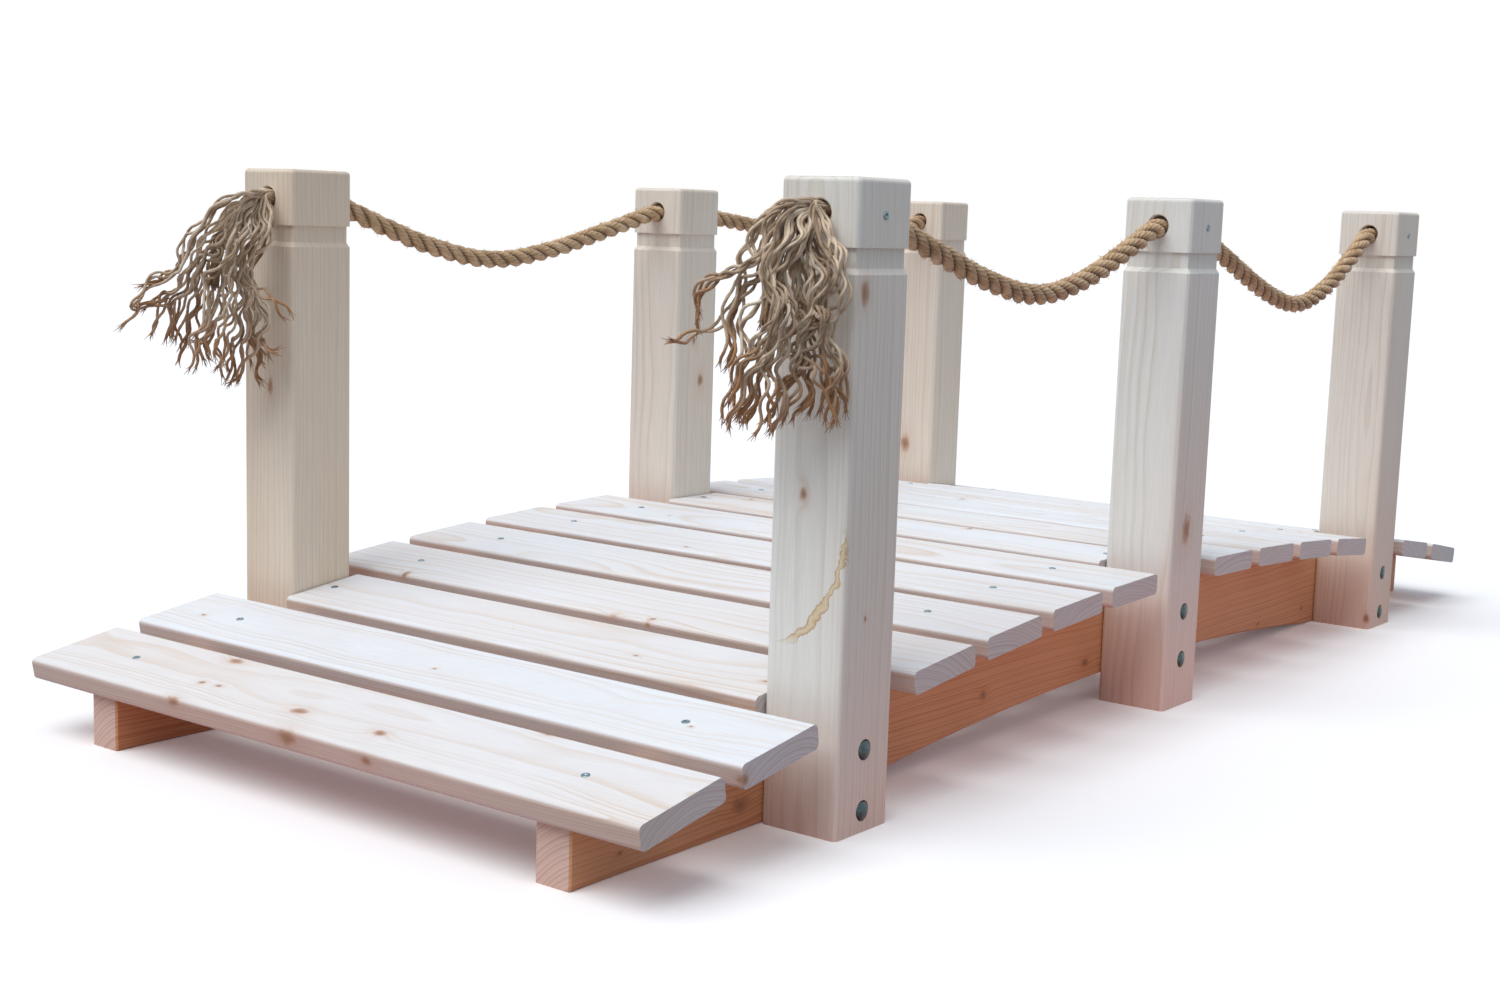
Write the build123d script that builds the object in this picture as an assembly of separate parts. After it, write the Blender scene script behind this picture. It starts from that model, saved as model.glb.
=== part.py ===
from build123d import *
import os
from math import asin, atan2, cos, degrees, hypot, pi, sin, sqrt, tan

# A low arched garden bridge of planed softwood: two side beams cut to an arch, cross boards laid
# over them, six square posts bolted to the outsides of the beams and a thick laid rope through the
# post heads on each side. Millimetres, +X along the bridge to its far end, +Y to its left side,
# +Z up, origin on the ground in the middle of the bridge.

os.makedirs("parts", exist_ok=True)

# Posts: three a side, all of one length and all standing on the ground
post_side = 94.0
post_height = 661.0
post_place_share = 0.344
post_edge_radius = 6.0
post_top_radius = 5.0
head_height = 68.0
groove_height = 26.0
groove_depth = 4.0
groove_slope_height = 6.0

# Rope bore along the bridge through each post head, and the two sunk bolts low on each post
bore_diameter = 28.0
bore_below_top = 36.0
bore_mouth_chamfer = 1.5
bolt_recess_diameter = 22.0
bolt_recess_depth = 7.0
bolt_height_end = 23.0
bolt_height_mid = 63.0
bolt_pitch = 64.0

# Side beams: flat feet at the ends, arched below and above
beam_thickness = 45.0
beam_outer_span = 740.0
beam_length = 2150.0
beam_crown_height = 162.5
beam_top_radius = 5900.0
soffit_rise = 36.5
soffit_inset = 21.0
beam_edge_chamfer = 2.0

# Cross boards, tangent to the arched tops of the beams
board_count = 15
board_thickness = 26.0
board_length = 930.0
board_gap = 26.0
board_end_overhang = 12.0
board_edge_radius = 6.0
board_seat_clearance = 0.05
short_board_gap = 2.0

# Rope: one laid rope a side, lying on the bottoms of the bores and slack between the posts
rope_diameter = 24.0
rope_sides = 8
rope_clearance = 0.3
rope_mouth_run = 12.0
rope_end_inset = 12.0
rope_bow = 0.6
rope_slack_right = (103.0, 81.0)
rope_slack_left = (84.0, 71.0)
slack_along_shares = (0.055, 0.155, 0.31, 0.5)
slack_drop_shares = (0.146, 0.39, 0.75, 1.0)
arc_run_share = 0.45

# Unlaid rope ends on the near posts, as plain hanging bells round the last of the rope
tail_bend_radius = 72.0
tail_bends = 3
tassel_neck_radius = 20.0
tassel_skirt_radius = 46.0
tassel_foot_radius = 40.0
tassel_length = 130.0
tassel_shoulder_share = 0.45
tassel_sides = 12

# Length by which cutting tools run past the faces they cut
overrun = 10.0

SIDES = {"left": 1, "right": -1}
POSTS = {"near": -1, "middle": 0, "far": 1}

post_spacing = post_place_share * beam_length
bore_height = post_height - bore_below_top
post_centre_y = beam_outer_span / 2 + post_side / 2
rope_height = bore_height - (bore_diameter - rope_diameter) / 2 + rope_clearance
deck_arc = 2 * beam_top_radius * asin((beam_length / 2 + board_end_overhang) / beam_top_radius)
board_pitch = (deck_arc + board_gap) / board_count
board_width = board_pitch - board_gap


def turn_and_length(before, corner, after):
    """The turn at a corner of a route in radians, and the shorter of its two runs."""
    a = (corner[0] - before[0], corner[2] - before[2])
    b = (after[0] - corner[0], after[2] - corner[2])
    turn = abs(atan2(a[0] * b[1] - a[1] * b[0], a[0] * b[0] + a[1] * b[1]))
    return turn, min(hypot(*a), hypot(*b))


def make_post(side, place):
    """One post on the ground: square with eased edges, a groove under the head, bore and bolts."""
    neck_side = post_side - 2 * groove_depth
    neck_radius = post_edge_radius - groove_depth
    head_foot = post_height - head_height
    shoulder = head_foot - groove_height
    neck_foot = shoulder + groove_slope_height
    full = RectangleRounded(post_side, post_side, post_edge_radius)
    neck = RectangleRounded(neck_side, neck_side, neck_radius)
    shaft = extrude(full, shoulder)
    slope = loft([Pos(0, 0, shoulder) * full, Pos(0, 0, neck_foot) * neck])
    waist = extrude(Pos(0, 0, neck_foot) * neck, head_foot - neck_foot)
    head = extrude(Pos(0, 0, head_foot) * full, head_height)
    head = fillet(head.faces().sort_by(Axis.Z)[-1].edges(), post_top_radius)
    bore = Cylinder(bore_diameter / 2, post_side + 2 * overrun)
    head -= Pos(0, 0, bore_height) * Rot(0, 90, 0) * bore
    rims = head.edges().filter_by(GeomType.CIRCLE)
    rims = [e for e in rims if abs(e.radius - bore_diameter / 2) < bore_mouth_chamfer / 2]
    head = chamfer(rims, bore_mouth_chamfer)
    post = shaft + slope + waist + head
    outer = side * post_side / 2
    first = bolt_height_end if place else bolt_height_mid
    for level in (first, first + bolt_pitch):
        tool = Cylinder(bolt_recess_diameter / 2, bolt_recess_depth + overrun)
        middle = outer + side * (overrun - bolt_recess_depth) / 2
        post -= Pos(0, middle, level) * Rot(90, 0, 0) * tool
    return Pos(place * post_spacing, side * post_centre_y, 0) * post


def make_beam(side):
    """One side beam: plank cut flat at the feet, arched between them and arched along its top."""
    half = beam_length / 2
    spring = post_spacing - post_side / 2 - soffit_inset
    top_drop = beam_top_radius - sqrt(beam_top_radius**2 - half**2)
    end_top = beam_crown_height - top_drop
    edge = Polyline((-half, end_top), (-half, 0), (-spring, 0))
    edge += ThreePointArc((-spring, 0), (0, soffit_rise), (spring, 0))
    edge += Polyline((spring, 0), (half, 0), (half, end_top))
    edge += ThreePointArc((half, end_top), (0, beam_crown_height), (-half, end_top))
    plank = extrude(Plane.XZ * make_face(edge), beam_thickness / 2, both=True)
    flanks = plank.faces().filter_by(Axis.Y)
    plank = chamfer(flanks.edges(), beam_edge_chamfer)
    return Pos(0, side * (beam_outer_span - beam_thickness) / 2, 0) * plank


def make_board(number):
    """One cross board, seated on the arch at its own angle; it is short where it meets posts."""
    place = number - (board_count + 1) / 2
    angle = place * board_pitch / beam_top_radius
    reach = beam_top_radius + board_seat_clearance + board_thickness / 2
    x = reach * sin(angle)
    length = board_length
    if any(abs(x - p * post_spacing) < (board_width + post_side) / 2 for p in POSTS.values()):
        length = beam_outer_span - 2 * short_board_gap
    board = Box(board_width, length, board_thickness)
    board = fillet(board.edges().filter_by(Axis.Y), board_edge_radius)
    z = beam_crown_height - beam_top_radius + reach * cos(angle)
    return Pos(x, 0, z) * Rot(0, degrees(angle), 0) * board


def tail_corners(x, y):
    """The corners past the near mouth, where the open end of the rope bends down and hangs."""
    turn = pi / 2 / tail_bends
    run = tail_bend_radius * tan(turn / 2) / arc_run_share
    points = [(x - arc_run_share * run, y, rope_height)]
    for bend in range(1, tail_bends + 1):
        last = points[-1]
        points.append((last[0] - run * cos(bend * turn), y, last[2] - run * sin(bend * turn)))
    return points


def rope_route(side, slacks):
    """The corners of the rope's line from its fixed end in the far post to its open near end."""
    y = side * post_centre_y
    face = post_side / 2
    points = [(post_spacing + face - rope_end_inset, y, rope_height)]
    for bay, slack in zip((1, 0), slacks):
        start = bay * post_spacing - face - rope_mouth_run
        end = (bay - 1) * post_spacing + face + rope_mouth_run
        shares = list(zip(slack_along_shares, slack_drop_shares))
        shares += [(1 - a, d) for a, d in reversed(shares[:-1])]
        points.append((bay * post_spacing, y, rope_height + rope_bow))
        points.append((start, y, rope_height))
        points += [(start + a * (end - start), y, rope_height - d * slack) for a, d in shares]
        points.append((end, y, rope_height))
    points.append((-post_spacing, y, rope_height + rope_bow))
    return points + tail_corners(-post_spacing - face, y)


def arc_radii(points):
    """A radius for each inner corner, in proportion to the shorter run beside it."""
    radii = []
    for before, corner, after in zip(points, points[1:], points[2:]):
        turn, run = turn_and_length(before, corner, after)
        radii.append(arc_run_share * run / tan(turn / 2))
    return radii


def rope_line(points):
    """Straight runs joined by tangent arcs of the radii above."""
    edges = []
    last = Vector(*points[0])
    for number, radius in enumerate(arc_radii(points)):
        before, corner, after = (Vector(*p) for p in points[number : number + 3])
        into = (corner - before).normalized()
        out = (after - corner).normalized()
        turn, run = turn_and_length(*points[number : number + 3])
        first = corner - into * (arc_run_share * run)
        leave = corner + out * (arc_run_share * run)
        middle_way = radius / cos(turn / 2) - radius
        middle = corner + (out - into).normalized() * middle_way
        edges.append(Edge.make_line(last, first))
        edges.append(Edge.make_three_point_arc(first, middle, leave))
        last = leave
    edges.append(Edge.make_line(last, Vector(*points[-1])))
    return Wire(edges)


def make_tube(line, section):
    """A plain tube of one section along a line."""
    start = Plane(origin=line @ 0, z_dir=line % 0)
    return sweep(start * section, path=line, transition=Transition.RIGHT)


def make_tassel(line):
    """A plain bell of flat faces on the rope's end, where it opens into hanging yarns."""
    end = line @ 1
    shoulder = tassel_shoulder_share * tassel_length
    angles = [2 * pi * number / tassel_sides for number in range(tassel_sides)]
    rings = []
    for radius, drop in (
        (tassel_neck_radius, 0),
        (tassel_skirt_radius, shoulder),
        (tassel_foot_radius, tassel_length),
    ):
        rings.append([end + Vector(radius * cos(a), radius * sin(a), -drop) for a in angles])
    outlines = [rings[0], rings[-1]]
    for high, low in zip(rings, rings[1:]):
        outlines += [[high[k - 1], high[k], low[k], low[k - 1]] for k in range(tassel_sides)]
    return Solid(Shell([Face(Wire.make_polygon(outline)) for outline in outlines]))


parts = {}
for side_name, side in SIDES.items():
    parts[f"beam_{side_name}"] = make_beam(side)
    for post_name, place in POSTS.items():
        parts[f"post_{side_name}_{post_name}"] = make_post(side, place)
    slacks = rope_slack_left if side > 0 else rope_slack_right
    points = rope_route(side, slacks)
    line = rope_line(points)
    section = RegularPolygon(rope_diameter / 2, rope_sides)
    parts[f"rope_{side_name}"] = make_tube(line, section)
    parts[f"tassel_{side_name}"] = make_tassel(line)
    full = section.area * line.length
    print(side_name, "rope length", round(line.length, 1), "arc radii", [round(r) for r in arc_radii(points)])
    print(side_name, "rope volume over section times length", round(parts[f"rope_{side_name}"].volume / full, 4))
for number in range(1, board_count + 1):
    parts[f"board_{number:02d}"] = make_board(number)

for name, shape in parts.items():
    export_step(shape, f"parts/{name}.step")
print(len(parts), "pieces written")
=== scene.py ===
# %% [markdown]
# # An arched garden bridge with rope rails
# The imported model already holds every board, post and beam in its place. This lesson dresses that
# frame: it lays the ropes, opens their ends into tassels, drives the screws and gives the timber
# its raw planed look. All sizes are metres in the model's own frame: +X runs to the far end of the
# bridge, +Y to its left side and +Z up.

# %% Load the frame
import math

import bmesh
import bpy
from mathutils import Matrix, Vector


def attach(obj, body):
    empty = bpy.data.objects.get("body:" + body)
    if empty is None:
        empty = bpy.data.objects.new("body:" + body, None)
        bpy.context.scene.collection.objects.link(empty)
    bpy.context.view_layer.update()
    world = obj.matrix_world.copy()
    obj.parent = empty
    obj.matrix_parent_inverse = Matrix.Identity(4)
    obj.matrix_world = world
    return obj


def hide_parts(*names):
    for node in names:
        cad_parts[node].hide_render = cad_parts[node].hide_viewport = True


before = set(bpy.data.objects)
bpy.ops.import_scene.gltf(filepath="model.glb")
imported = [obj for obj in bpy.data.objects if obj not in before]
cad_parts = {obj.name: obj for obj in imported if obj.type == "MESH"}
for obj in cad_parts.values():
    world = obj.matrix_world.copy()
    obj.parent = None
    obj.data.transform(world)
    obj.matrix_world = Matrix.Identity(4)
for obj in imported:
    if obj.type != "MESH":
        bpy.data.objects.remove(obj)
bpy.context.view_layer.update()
MM = 0.001
print("nodes in the frame:", len(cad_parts))

# %% [markdown]
# ## The camera
# The picture was taken from about the height of the post heads, to the right of the near end. The
# camera was found by fitting the corners of posts and boards to their places in the picture, so it
# is set by its eye point, three angles and a focal length in pixels, not by pointing it by eye.

# %% Camera
PHOTO_WIDTH_PX = 1500
FOCAL_PX = 1962.08
EYE = Vector((-2357.47, -1542.35, 614.83)) * MM
YAW, PITCH, ROLL = (math.radians(a) for a in (37.35, -8.07, 1.79))

forward = Vector(
    (math.cos(PITCH) * math.cos(YAW), math.cos(PITCH) * math.sin(YAW), math.sin(PITCH))
)
level = Vector((math.sin(YAW), -math.cos(YAW), 0))
upward = level.cross(forward)
right = level * math.cos(ROLL) + upward * math.sin(ROLL)
top = upward * math.cos(ROLL) - level * math.sin(ROLL)
lens = bpy.data.cameras.new("photo_camera")
lens.lens = FOCAL_PX / PHOTO_WIDTH_PX * lens.sensor_width
camera = bpy.data.objects.new("photo_camera", lens)
turned = Matrix((right, top, -forward)).transposed().to_4x4()
camera.matrix_world = Matrix.Translation(EYE) @ turned
bpy.context.collection.objects.link(camera)
bpy.context.scene.camera = camera
print("focal length", round(lens.lens, 2), "mm")

# %% [markdown]
# ## Helpers for node trees
# Shader trees and geometry trees are both nodes with sockets. One function adds a node, sets it up
# and feeds its sockets in order, so a chain of nodes reads like a sentence. A colour is written as
# the sRGB hex value that a painter would note, and turned into the linear value that light needs.

# %% Colours and nodes
def linear(code):
    """An sRGB hex colour as linear red, green, blue and alpha."""
    parts = [int(code[i : i + 2], 16) / 255 for i in (1, 3, 5)]
    return (*(c / 12.92 if c <= 0.04045 else ((c + 0.055) / 1.055) ** 2.4 for c in parts), 1.0)


def add(tree, kind, *feeds, out=0, named=None, stops=None, **settings):
    """Adds a node, feeds its live sockets in order or by name, and returns one live output."""
    made = tree.nodes.new(kind)
    for key, value in settings.items():
        setattr(made, key, value)
    pairs = list(zip([s for s in made.inputs if s.enabled], feeds))
    for key, value in (named or {}).items():
        pairs.append((next(s for s in made.inputs if s.enabled and s.name == key), value))
    for socket, value in pairs:
        if isinstance(value, bpy.types.NodeSocket):
            tree.links.new(value, socket)
        elif value is not None:
            socket.default_value = value
    for number, (place, colour) in enumerate(stops or ()):
        band = made.color_ramp.elements
        stop = band[number] if number < 2 else band.new(place)
        stop.position, stop.color = place, colour
    return [s for s in made.outputs if s.enabled][out]


# %% [markdown]
# A geometry tree starts with named inputs for its sizes and ends in plain painted faces, because copies
# that are only instances would be lost later. It runs on a mesh of points or edges, and what it makes
# is kept as a piece.

# %% Geometry trees
def new_tree(name, **inputs):
    """A geometry tree with named inputs; returns the tree and a socket for each input."""
    tree = bpy.data.node_groups.new(name, "GeometryNodeTree")
    kinds = {float: "NodeSocketFloat", int: "NodeSocketInt", str: None}
    tree.interface.new_socket("Geometry", in_out="INPUT", socket_type="NodeSocketGeometry")
    tree.interface.new_socket("Geometry", in_out="OUTPUT", socket_type="NodeSocketGeometry")
    for label, value in inputs.items():
        kind = kinds[type(value)] or f"NodeSocket{value}"
        item = tree.interface.new_socket(label, in_out="INPUT", socket_type=kind)
        if kinds[type(value)]:
            item.default_value = value
    given = tree.nodes.new("NodeGroupInput")
    return tree, {s.name: s for s in given.outputs if s.name}


def close_tree(tree, geometry, material):
    """Ends a tree in plain, smooth, painted faces."""
    geometry = add(tree, "GeometryNodeRealizeInstances", geometry)
    geometry = add(tree, "GeometryNodeSetShadeSmooth", geometry)
    geometry = add(tree, "GeometryNodeSetMaterial", geometry, None, material)
    tree.links.new(geometry, tree.nodes.new("NodeGroupOutput").inputs[0])
    print("tree", tree.name, "has", len(tree.nodes), "nodes")


def grow(name, tree, mesh, **values):
    """Runs a geometry tree on a mesh and keeps what it makes as a plain mesh object."""
    holder = bpy.data.objects.new(name, mesh)
    bpy.context.collection.objects.link(holder)
    modifier = holder.modifiers.new("tree", "NODES")
    modifier.node_group = tree
    for item in tree.interface.items_tree:
        if item.item_type == "SOCKET" and item.in_out == "INPUT" and item.name in values:
            modifier[item.identifier] = values[item.name]
    graph = bpy.context.evaluated_depsgraph_get()
    made = bpy.data.meshes.new_from_object(holder.evaluated_get(graph))
    holder.modifiers.remove(modifier)
    holder.data = made
    made.name = name
    print(name, "has", sum(len(p.vertices) - 2 for p in made.polygons), "triangles")
    return holder


# %% [markdown]
# ## The rope's line
# One rope a side runs from a bore in the far post through the middle post to the near post, hanging
# slack in each bay, and its open end bends down over the lip of the last bore. A chain of arcs would
# look like bent wire, so the route's points are the control points of one NURBS spline, and all that
# follows the rope is built on points read back from that spline. Stiff rope rarely hangs true, so the
# points of each bay are moved a little along it, to where the picture shows the sag.

# %% Rope route
POST_SPACING = 739.6 * MM
POST_HALF = 47 * MM
ROPE_Y = 417 * MM
ROPE_Z = 623.3 * MM
ROPE_BOW = 0.6 * MM
MOUTH_RUN = 12 * MM
END_INSET = 12 * MM
SLACK = {"left": (38 * MM, 76 * MM), "right": (110 * MM, 87 * MM)}
SKEW = {"left": (-0.12, 0.04), "right": (-0.08, -0.04)}
SIDES = {"left": 1, "right": -1}
BAY_SHARES = (
    (0, 0), (0.055, 0.146), (0.155, 0.39), (0.31, 0.75), (0.5, 1),
    (0.69, 0.75), (0.845, 0.39), (0.945, 0.146), (1, 0),
)
TAIL = ((-805.9, 623.3), (-843.0, 601.9), (-864.5, 564.7), (-864.5, 521.9))


def rope_route(side):
    """The route's points from the fixed end in the far post to the open end at the near post."""
    y = SIDES[side] * ROPE_Y
    points = [(POST_SPACING + POST_HALF - END_INSET, y, ROPE_Z)]
    for bay, slack, skew in zip((1, 0), SLACK[side], SKEW[side]):
        start = bay * POST_SPACING - POST_HALF - MOUTH_RUN
        end = (bay - 1) * POST_SPACING + POST_HALF + MOUTH_RUN
        points.append((bay * POST_SPACING, y, ROPE_Z + ROPE_BOW))
        shares = [(a + 4 * skew * a * (1 - a), d) for a, d in BAY_SHARES]
        points += [(start + a * (end - start), y, ROPE_Z - d * slack) for a, d in shares]
    points.append((-POST_SPACING, y, ROPE_Z + ROPE_BOW))
    return points + [(x * MM, y, z * MM) for x, z in TAIL]


def spline_mesh(name, routes, steps):
    """The smooth lines that NURBS splines draw from the routes' points, as a mesh of edges."""
    curve = bpy.data.curves.new(name, "CURVE")
    curve.dimensions = "3D"
    curve.resolution_u = steps
    for route in routes:
        spline = curve.splines.new("NURBS")
        spline.points.add(len(route) - 1)
        for place, point in zip(spline.points, route):
            place.co = (*point, 1)
        spline.order_u = 3
        spline.use_endpoint_u = True
    holder = bpy.data.objects.new(name, curve)
    bpy.context.collection.objects.link(holder)
    graph = bpy.context.evaluated_depsgraph_get()
    line = bpy.data.meshes.new_from_object(holder.evaluated_get(graph))
    bpy.data.objects.remove(holder)
    return line


ROPE_STEPS = 16
rope_points = {}
for side in SIDES:
    line = spline_mesh(f"line_{side}", [rope_route(side)], ROPE_STEPS)
    rope_points[side] = [v.co.copy() for v in line.vertices]
    run = sum((b - a).length for a, b in zip(rope_points[side], rope_points[side][1:]))
    lowest = min(p.z for p in rope_points[side])
    print(side, "rope line", round(run / MM), "mm, lowest", round(lowest / MM), "mm")

# %% [markdown]
# ## Hemp
# The rope is natural hemp: dull, pale where the sun has reached it, darkened by painted shade in the
# hollows between the strands, and warmer at the cut ends. Fine fibres lie along each yarn, so the
# pattern uses the lengthwise place that the geometry trees store on the mesh, and it is rough with a
# slight sheen.

# %% Hemp material
# Real fibres are about a tenth as wide and would not show, so they are drawn coarser.
HEMP_FIBRE = 0.9 * MM
HEMP_FIBRE_RUN = 14 * MM
HEMP_PATCH = 30 * MM
STRAND_ROUND = 38 * MM
# The brown of the painted shade in the hollows between the strands.
HOLLOW_SHADE = "#6b4c30"


def hemp(name, pale, mid, dark, tip):
    """Hemp with fibres along the stored length, warmer where the stored share nears the tip."""
    material = bpy.data.materials.new(name)
    material.use_nodes = True
    tree = material.node_tree
    shader = tree.nodes["Principled BSDF"]
    place = add(tree, "ShaderNodeTexCoord", out=3)
    along = add(tree, "ShaderNodeAttribute", attribute_name="along").node.outputs["Fac"]
    around = add(tree, "ShaderNodeAttribute", attribute_name="around").node.outputs["Fac"]
    share = add(tree, "ShaderNodeAttribute", attribute_name="share").node.outputs["Fac"]
    own = add(tree, "ShaderNodeAttribute", attribute_name="tone").node.outputs["Fac"]
    hollow = add(tree, "ShaderNodeAttribute", attribute_name="hollow").node.outputs["Fac"]
    lengthwise = add(tree, "ShaderNodeMath", along, 1 / HEMP_FIBRE_RUN, operation="MULTIPLY")
    sideways = add(tree, "ShaderNodeMath", around, STRAND_ROUND / HEMP_FIBRE / 2, operation="MULTIPLY")
    cell = add(tree, "ShaderNodeCombineXYZ", lengthwise, sideways, 0.0)
    fibre = add(tree, "ShaderNodeTexNoise", cell, named={"Scale": 1.0, "Detail": 3.0, "Roughness": 0.65})
    patch = add(tree, "ShaderNodeTexNoise", place, named={"Scale": 1 / HEMP_PATCH, "Detail": 2.0})
    tone = add(tree, "ShaderNodeMath", fibre, 0.65, operation="MULTIPLY")
    tone = add(tree, "ShaderNodeMath", patch, 0.35, tone, operation="MULTIPLY_ADD")
    tone = add(tree, "ShaderNodeMath", own, 0.12, tone, operation="MULTIPLY_ADD")
    stops = ((0.32, linear(dark)), (0.68, linear(pale)), (0.5, linear(mid)))
    colour = add(tree, "ShaderNodeValToRGB", tone, stops=stops)
    near_tip = add(
        tree, "ShaderNodeMapRange", share, 0.72, 1.0, 0.0, 0.75, interpolation_type="SMOOTHSTEP"
    )
    colour = add(tree, "ShaderNodeMix", near_tip, colour, linear(tip), data_type="RGBA")
    # Painted shade: the hollows between the strands are darkened towards a shade brown.
    colour = add(
        tree, "ShaderNodeMix", hollow, colour, linear(HOLLOW_SHADE), data_type="RGBA", blend_type="MULTIPLY"
    )
    bump = add(tree, "ShaderNodeBump", named={"Strength": 0.5, "Distance": 0.6 * MM, "Height": fibre})
    tree.links.new(colour, shader.inputs["Base Color"])
    tree.links.new(bump, shader.inputs["Normal"])
    shader.inputs["Roughness"].default_value = 0.9
    shader.inputs["Specular IOR Level"].default_value = 0.25
    shader.inputs["Sheen Weight"].default_value = 0.25
    shader.inputs["Sheen Roughness"].default_value = 0.6
    return material


laid_hemp = hemp("laid_hemp_rope", "#f3d8b2", "#d2ae84", "#8e6b47", "#a98456")
core_hemp = hemp("unlaid_hemp_core", "#e6d2b8", "#c7ad8c", "#7c5c3f", "#a08058")
yarn_hemp = hemp("unlaid_hemp_yarn", "#fbead2", "#dcc3a4", "#866546", "#b0763f")
print("hemp:", laid_hemp.name, core_hemp.name, yarn_hemp.name)

# %% [markdown]
# ## Laying the rope
# A laid rope is three strands wound round each other to the right, and each strand is a bundle of
# yarns twisted the other way, so the yarns end up running almost along the rope. A geometry tree does
# the same: it copies the line three times, winds each copy into a helix, and sweeps along it a strand
# section with a lobe for each outer yarn, twisted back as it goes. A few fibres always work loose, so
# the tree also scatters thin spikes over the outside of the strands, lying almost flat.

# %% Laid rope tree
ROPE_RADIUS = 12 * MM
STRAND_RADIUS = 6.0 * MM
STRAND_LAY = 78 * MM
YARN_LAY = 62 * MM
STRANDS = 3
RING_STEP = 2.6 * MM
FUZZ_DENSITY = 12000.0
TURN = 2 * math.pi

laying, given = new_tree(
    "laid_rope", **{"Strand Offset": ROPE_RADIUS - STRAND_RADIUS, "Strand Radius": STRAND_RADIUS,
                    "Strand Lay": STRAND_LAY, "Yarn Lay": YARN_LAY, "Fuzz": FUZZ_DENSITY,
                    "Fibre": "Object", "Hemp": "Material"}
)
line = add(laying, "GeometryNodeMeshToCurve", given["Geometry"])
line = add(laying, "GeometryNodeResampleCurve", named={"Curve": line, "Length": RING_STEP}, mode="LENGTH")
length = add(laying, "GeometryNodeSplineParameter", out=1)
line = add(
    laying, "GeometryNodeStoreNamedAttribute", named={"Geometry": line, "Name": "along", "Value": length}
)
copies = add(
    laying, "GeometryNodeDuplicateElements", named={"Geometry": line, "Amount": STRANDS}, domain="SPLINE"
)
number = copies.node.outputs["Duplicate Index"]
place = add(laying, "ShaderNodeMath", number, TURN / STRANDS, operation="MULTIPLY")
winding = add(laying, "ShaderNodeMath", length, given["Strand Lay"], operation="DIVIDE")
angle = add(laying, "ShaderNodeMath", winding, TURN, place, operation="MULTIPLY_ADD")
normal = add(laying, "GeometryNodeInputNormal")
tangent = add(laying, "GeometryNodeInputTangent")
sideways = add(laying, "ShaderNodeVectorMath", tangent, normal, operation="CROSS_PRODUCT")
offsets = []
for way, wave in ((normal, "COSINE"), (sideways, "SINE")):
    swing = add(laying, "ShaderNodeMath", angle, operation=wave)
    offsets.append(add(laying, "ShaderNodeVectorMath", way, swing, operation="SCALE"))
offset = add(laying, "ShaderNodeVectorMath", *offsets, operation="ADD")
offset = add(laying, "ShaderNodeVectorMath", offset, given["Strand Offset"], operation="SCALE")
strands = add(laying, "GeometryNodeSetPosition", named={"Geometry": copies, "Offset": offset})
twist = add(laying, "ShaderNodeMath", length, given["Yarn Lay"], operation="DIVIDE")
twist = add(laying, "ShaderNodeMath", twist, -TURN, operation="MULTIPLY")
strands = add(laying, "GeometryNodeSetCurveTilt", named={"Curve": strands, "Tilt": twist})

# %% Strand section
YARN_LOBES = 8
LOBE_POINTS = 4
LOBE_SHARE = 0.085
HOLLOW_DEEP, HOLLOW_OUT = 0.58 * ROPE_RADIUS, 0.9 * ROPE_RADIUS
section = add(
    laying, "GeometryNodeCurvePrimitiveCircle", mode="RADIUS",
    named={"Resolution": YARN_LOBES * LOBE_POINTS, "Radius": given["Strand Radius"]},
)
share = add(laying, "GeometryNodeSplineParameter")
section = add(
    laying, "GeometryNodeStoreNamedAttribute",
    named={"Geometry": section, "Name": "around", "Value": share},
)
lobe = add(laying, "ShaderNodeMath", share, TURN * YARN_LOBES, operation="MULTIPLY")
lobe = add(laying, "ShaderNodeMath", lobe, operation="COSINE")
lobe = add(laying, "ShaderNodeMath", lobe, LOBE_SHARE, operation="MULTIPLY")
corner = add(laying, "GeometryNodeInputPosition")
swell = add(laying, "ShaderNodeVectorMath", corner, lobe, operation="SCALE")
section = add(laying, "GeometryNodeSetPosition", named={"Geometry": section, "Offset": swell})
strands = add(
    laying, "GeometryNodeCurveToMesh",
    named={"Curve": strands, "Profile Curve": section, "Fill Caps": True},
)
# Painted shade: the nearer a point lies to the rope's middle line, the deeper it sits in a hollow between
# strands and the darker it is painted there.
nearest = add(laying, "GeometryNodeProximity", given["Geometry"], target_element="EDGES").node
out_from_line = nearest.outputs["Distance"]
hollow = add(laying, "ShaderNodeMapRange", out_from_line, HOLLOW_DEEP, HOLLOW_OUT, 0.9, 0.0)
strands = add(
    laying, "GeometryNodeStoreNamedAttribute",
    named={"Geometry": strands, "Name": "hollow", "Value": hollow},
)

# %% Loose fibres
# A Random Value node takes its lowest, its highest, what it tells apart and a fixed seed, in that order.
FUZZ_TILT = (0.8, 1.3)
outer = add(laying, "ShaderNodeMath", hollow, 0.3, operation="LESS_THAN")
density = add(laying, "ShaderNodeMath", outer, given["Fuzz"], operation="MULTIPLY")
roots = add(
    laying, "GeometryNodeDistributePointsOnFaces",
    named={"Mesh": strands, "Density": density, "Seed": 6},
)
fibre = add(laying, "GeometryNodeObjectInfo", given["Fibre"]).node.outputs["Geometry"]
outward = roots.node.outputs["Rotation"]
loose = add(
    laying, "GeometryNodeInstanceOnPoints",
    named={"Points": roots, "Instance": fibre, "Rotation": outward},
)
tilt = add(laying, "FunctionNodeRandomValue", *FUZZ_TILT, None, 8, data_type="FLOAT")
way = add(laying, "FunctionNodeRandomValue", 0.0, TURN, None, 9, data_type="FLOAT")
lie = add(laying, "ShaderNodeCombineXYZ", tilt, 0.0, way)
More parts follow.
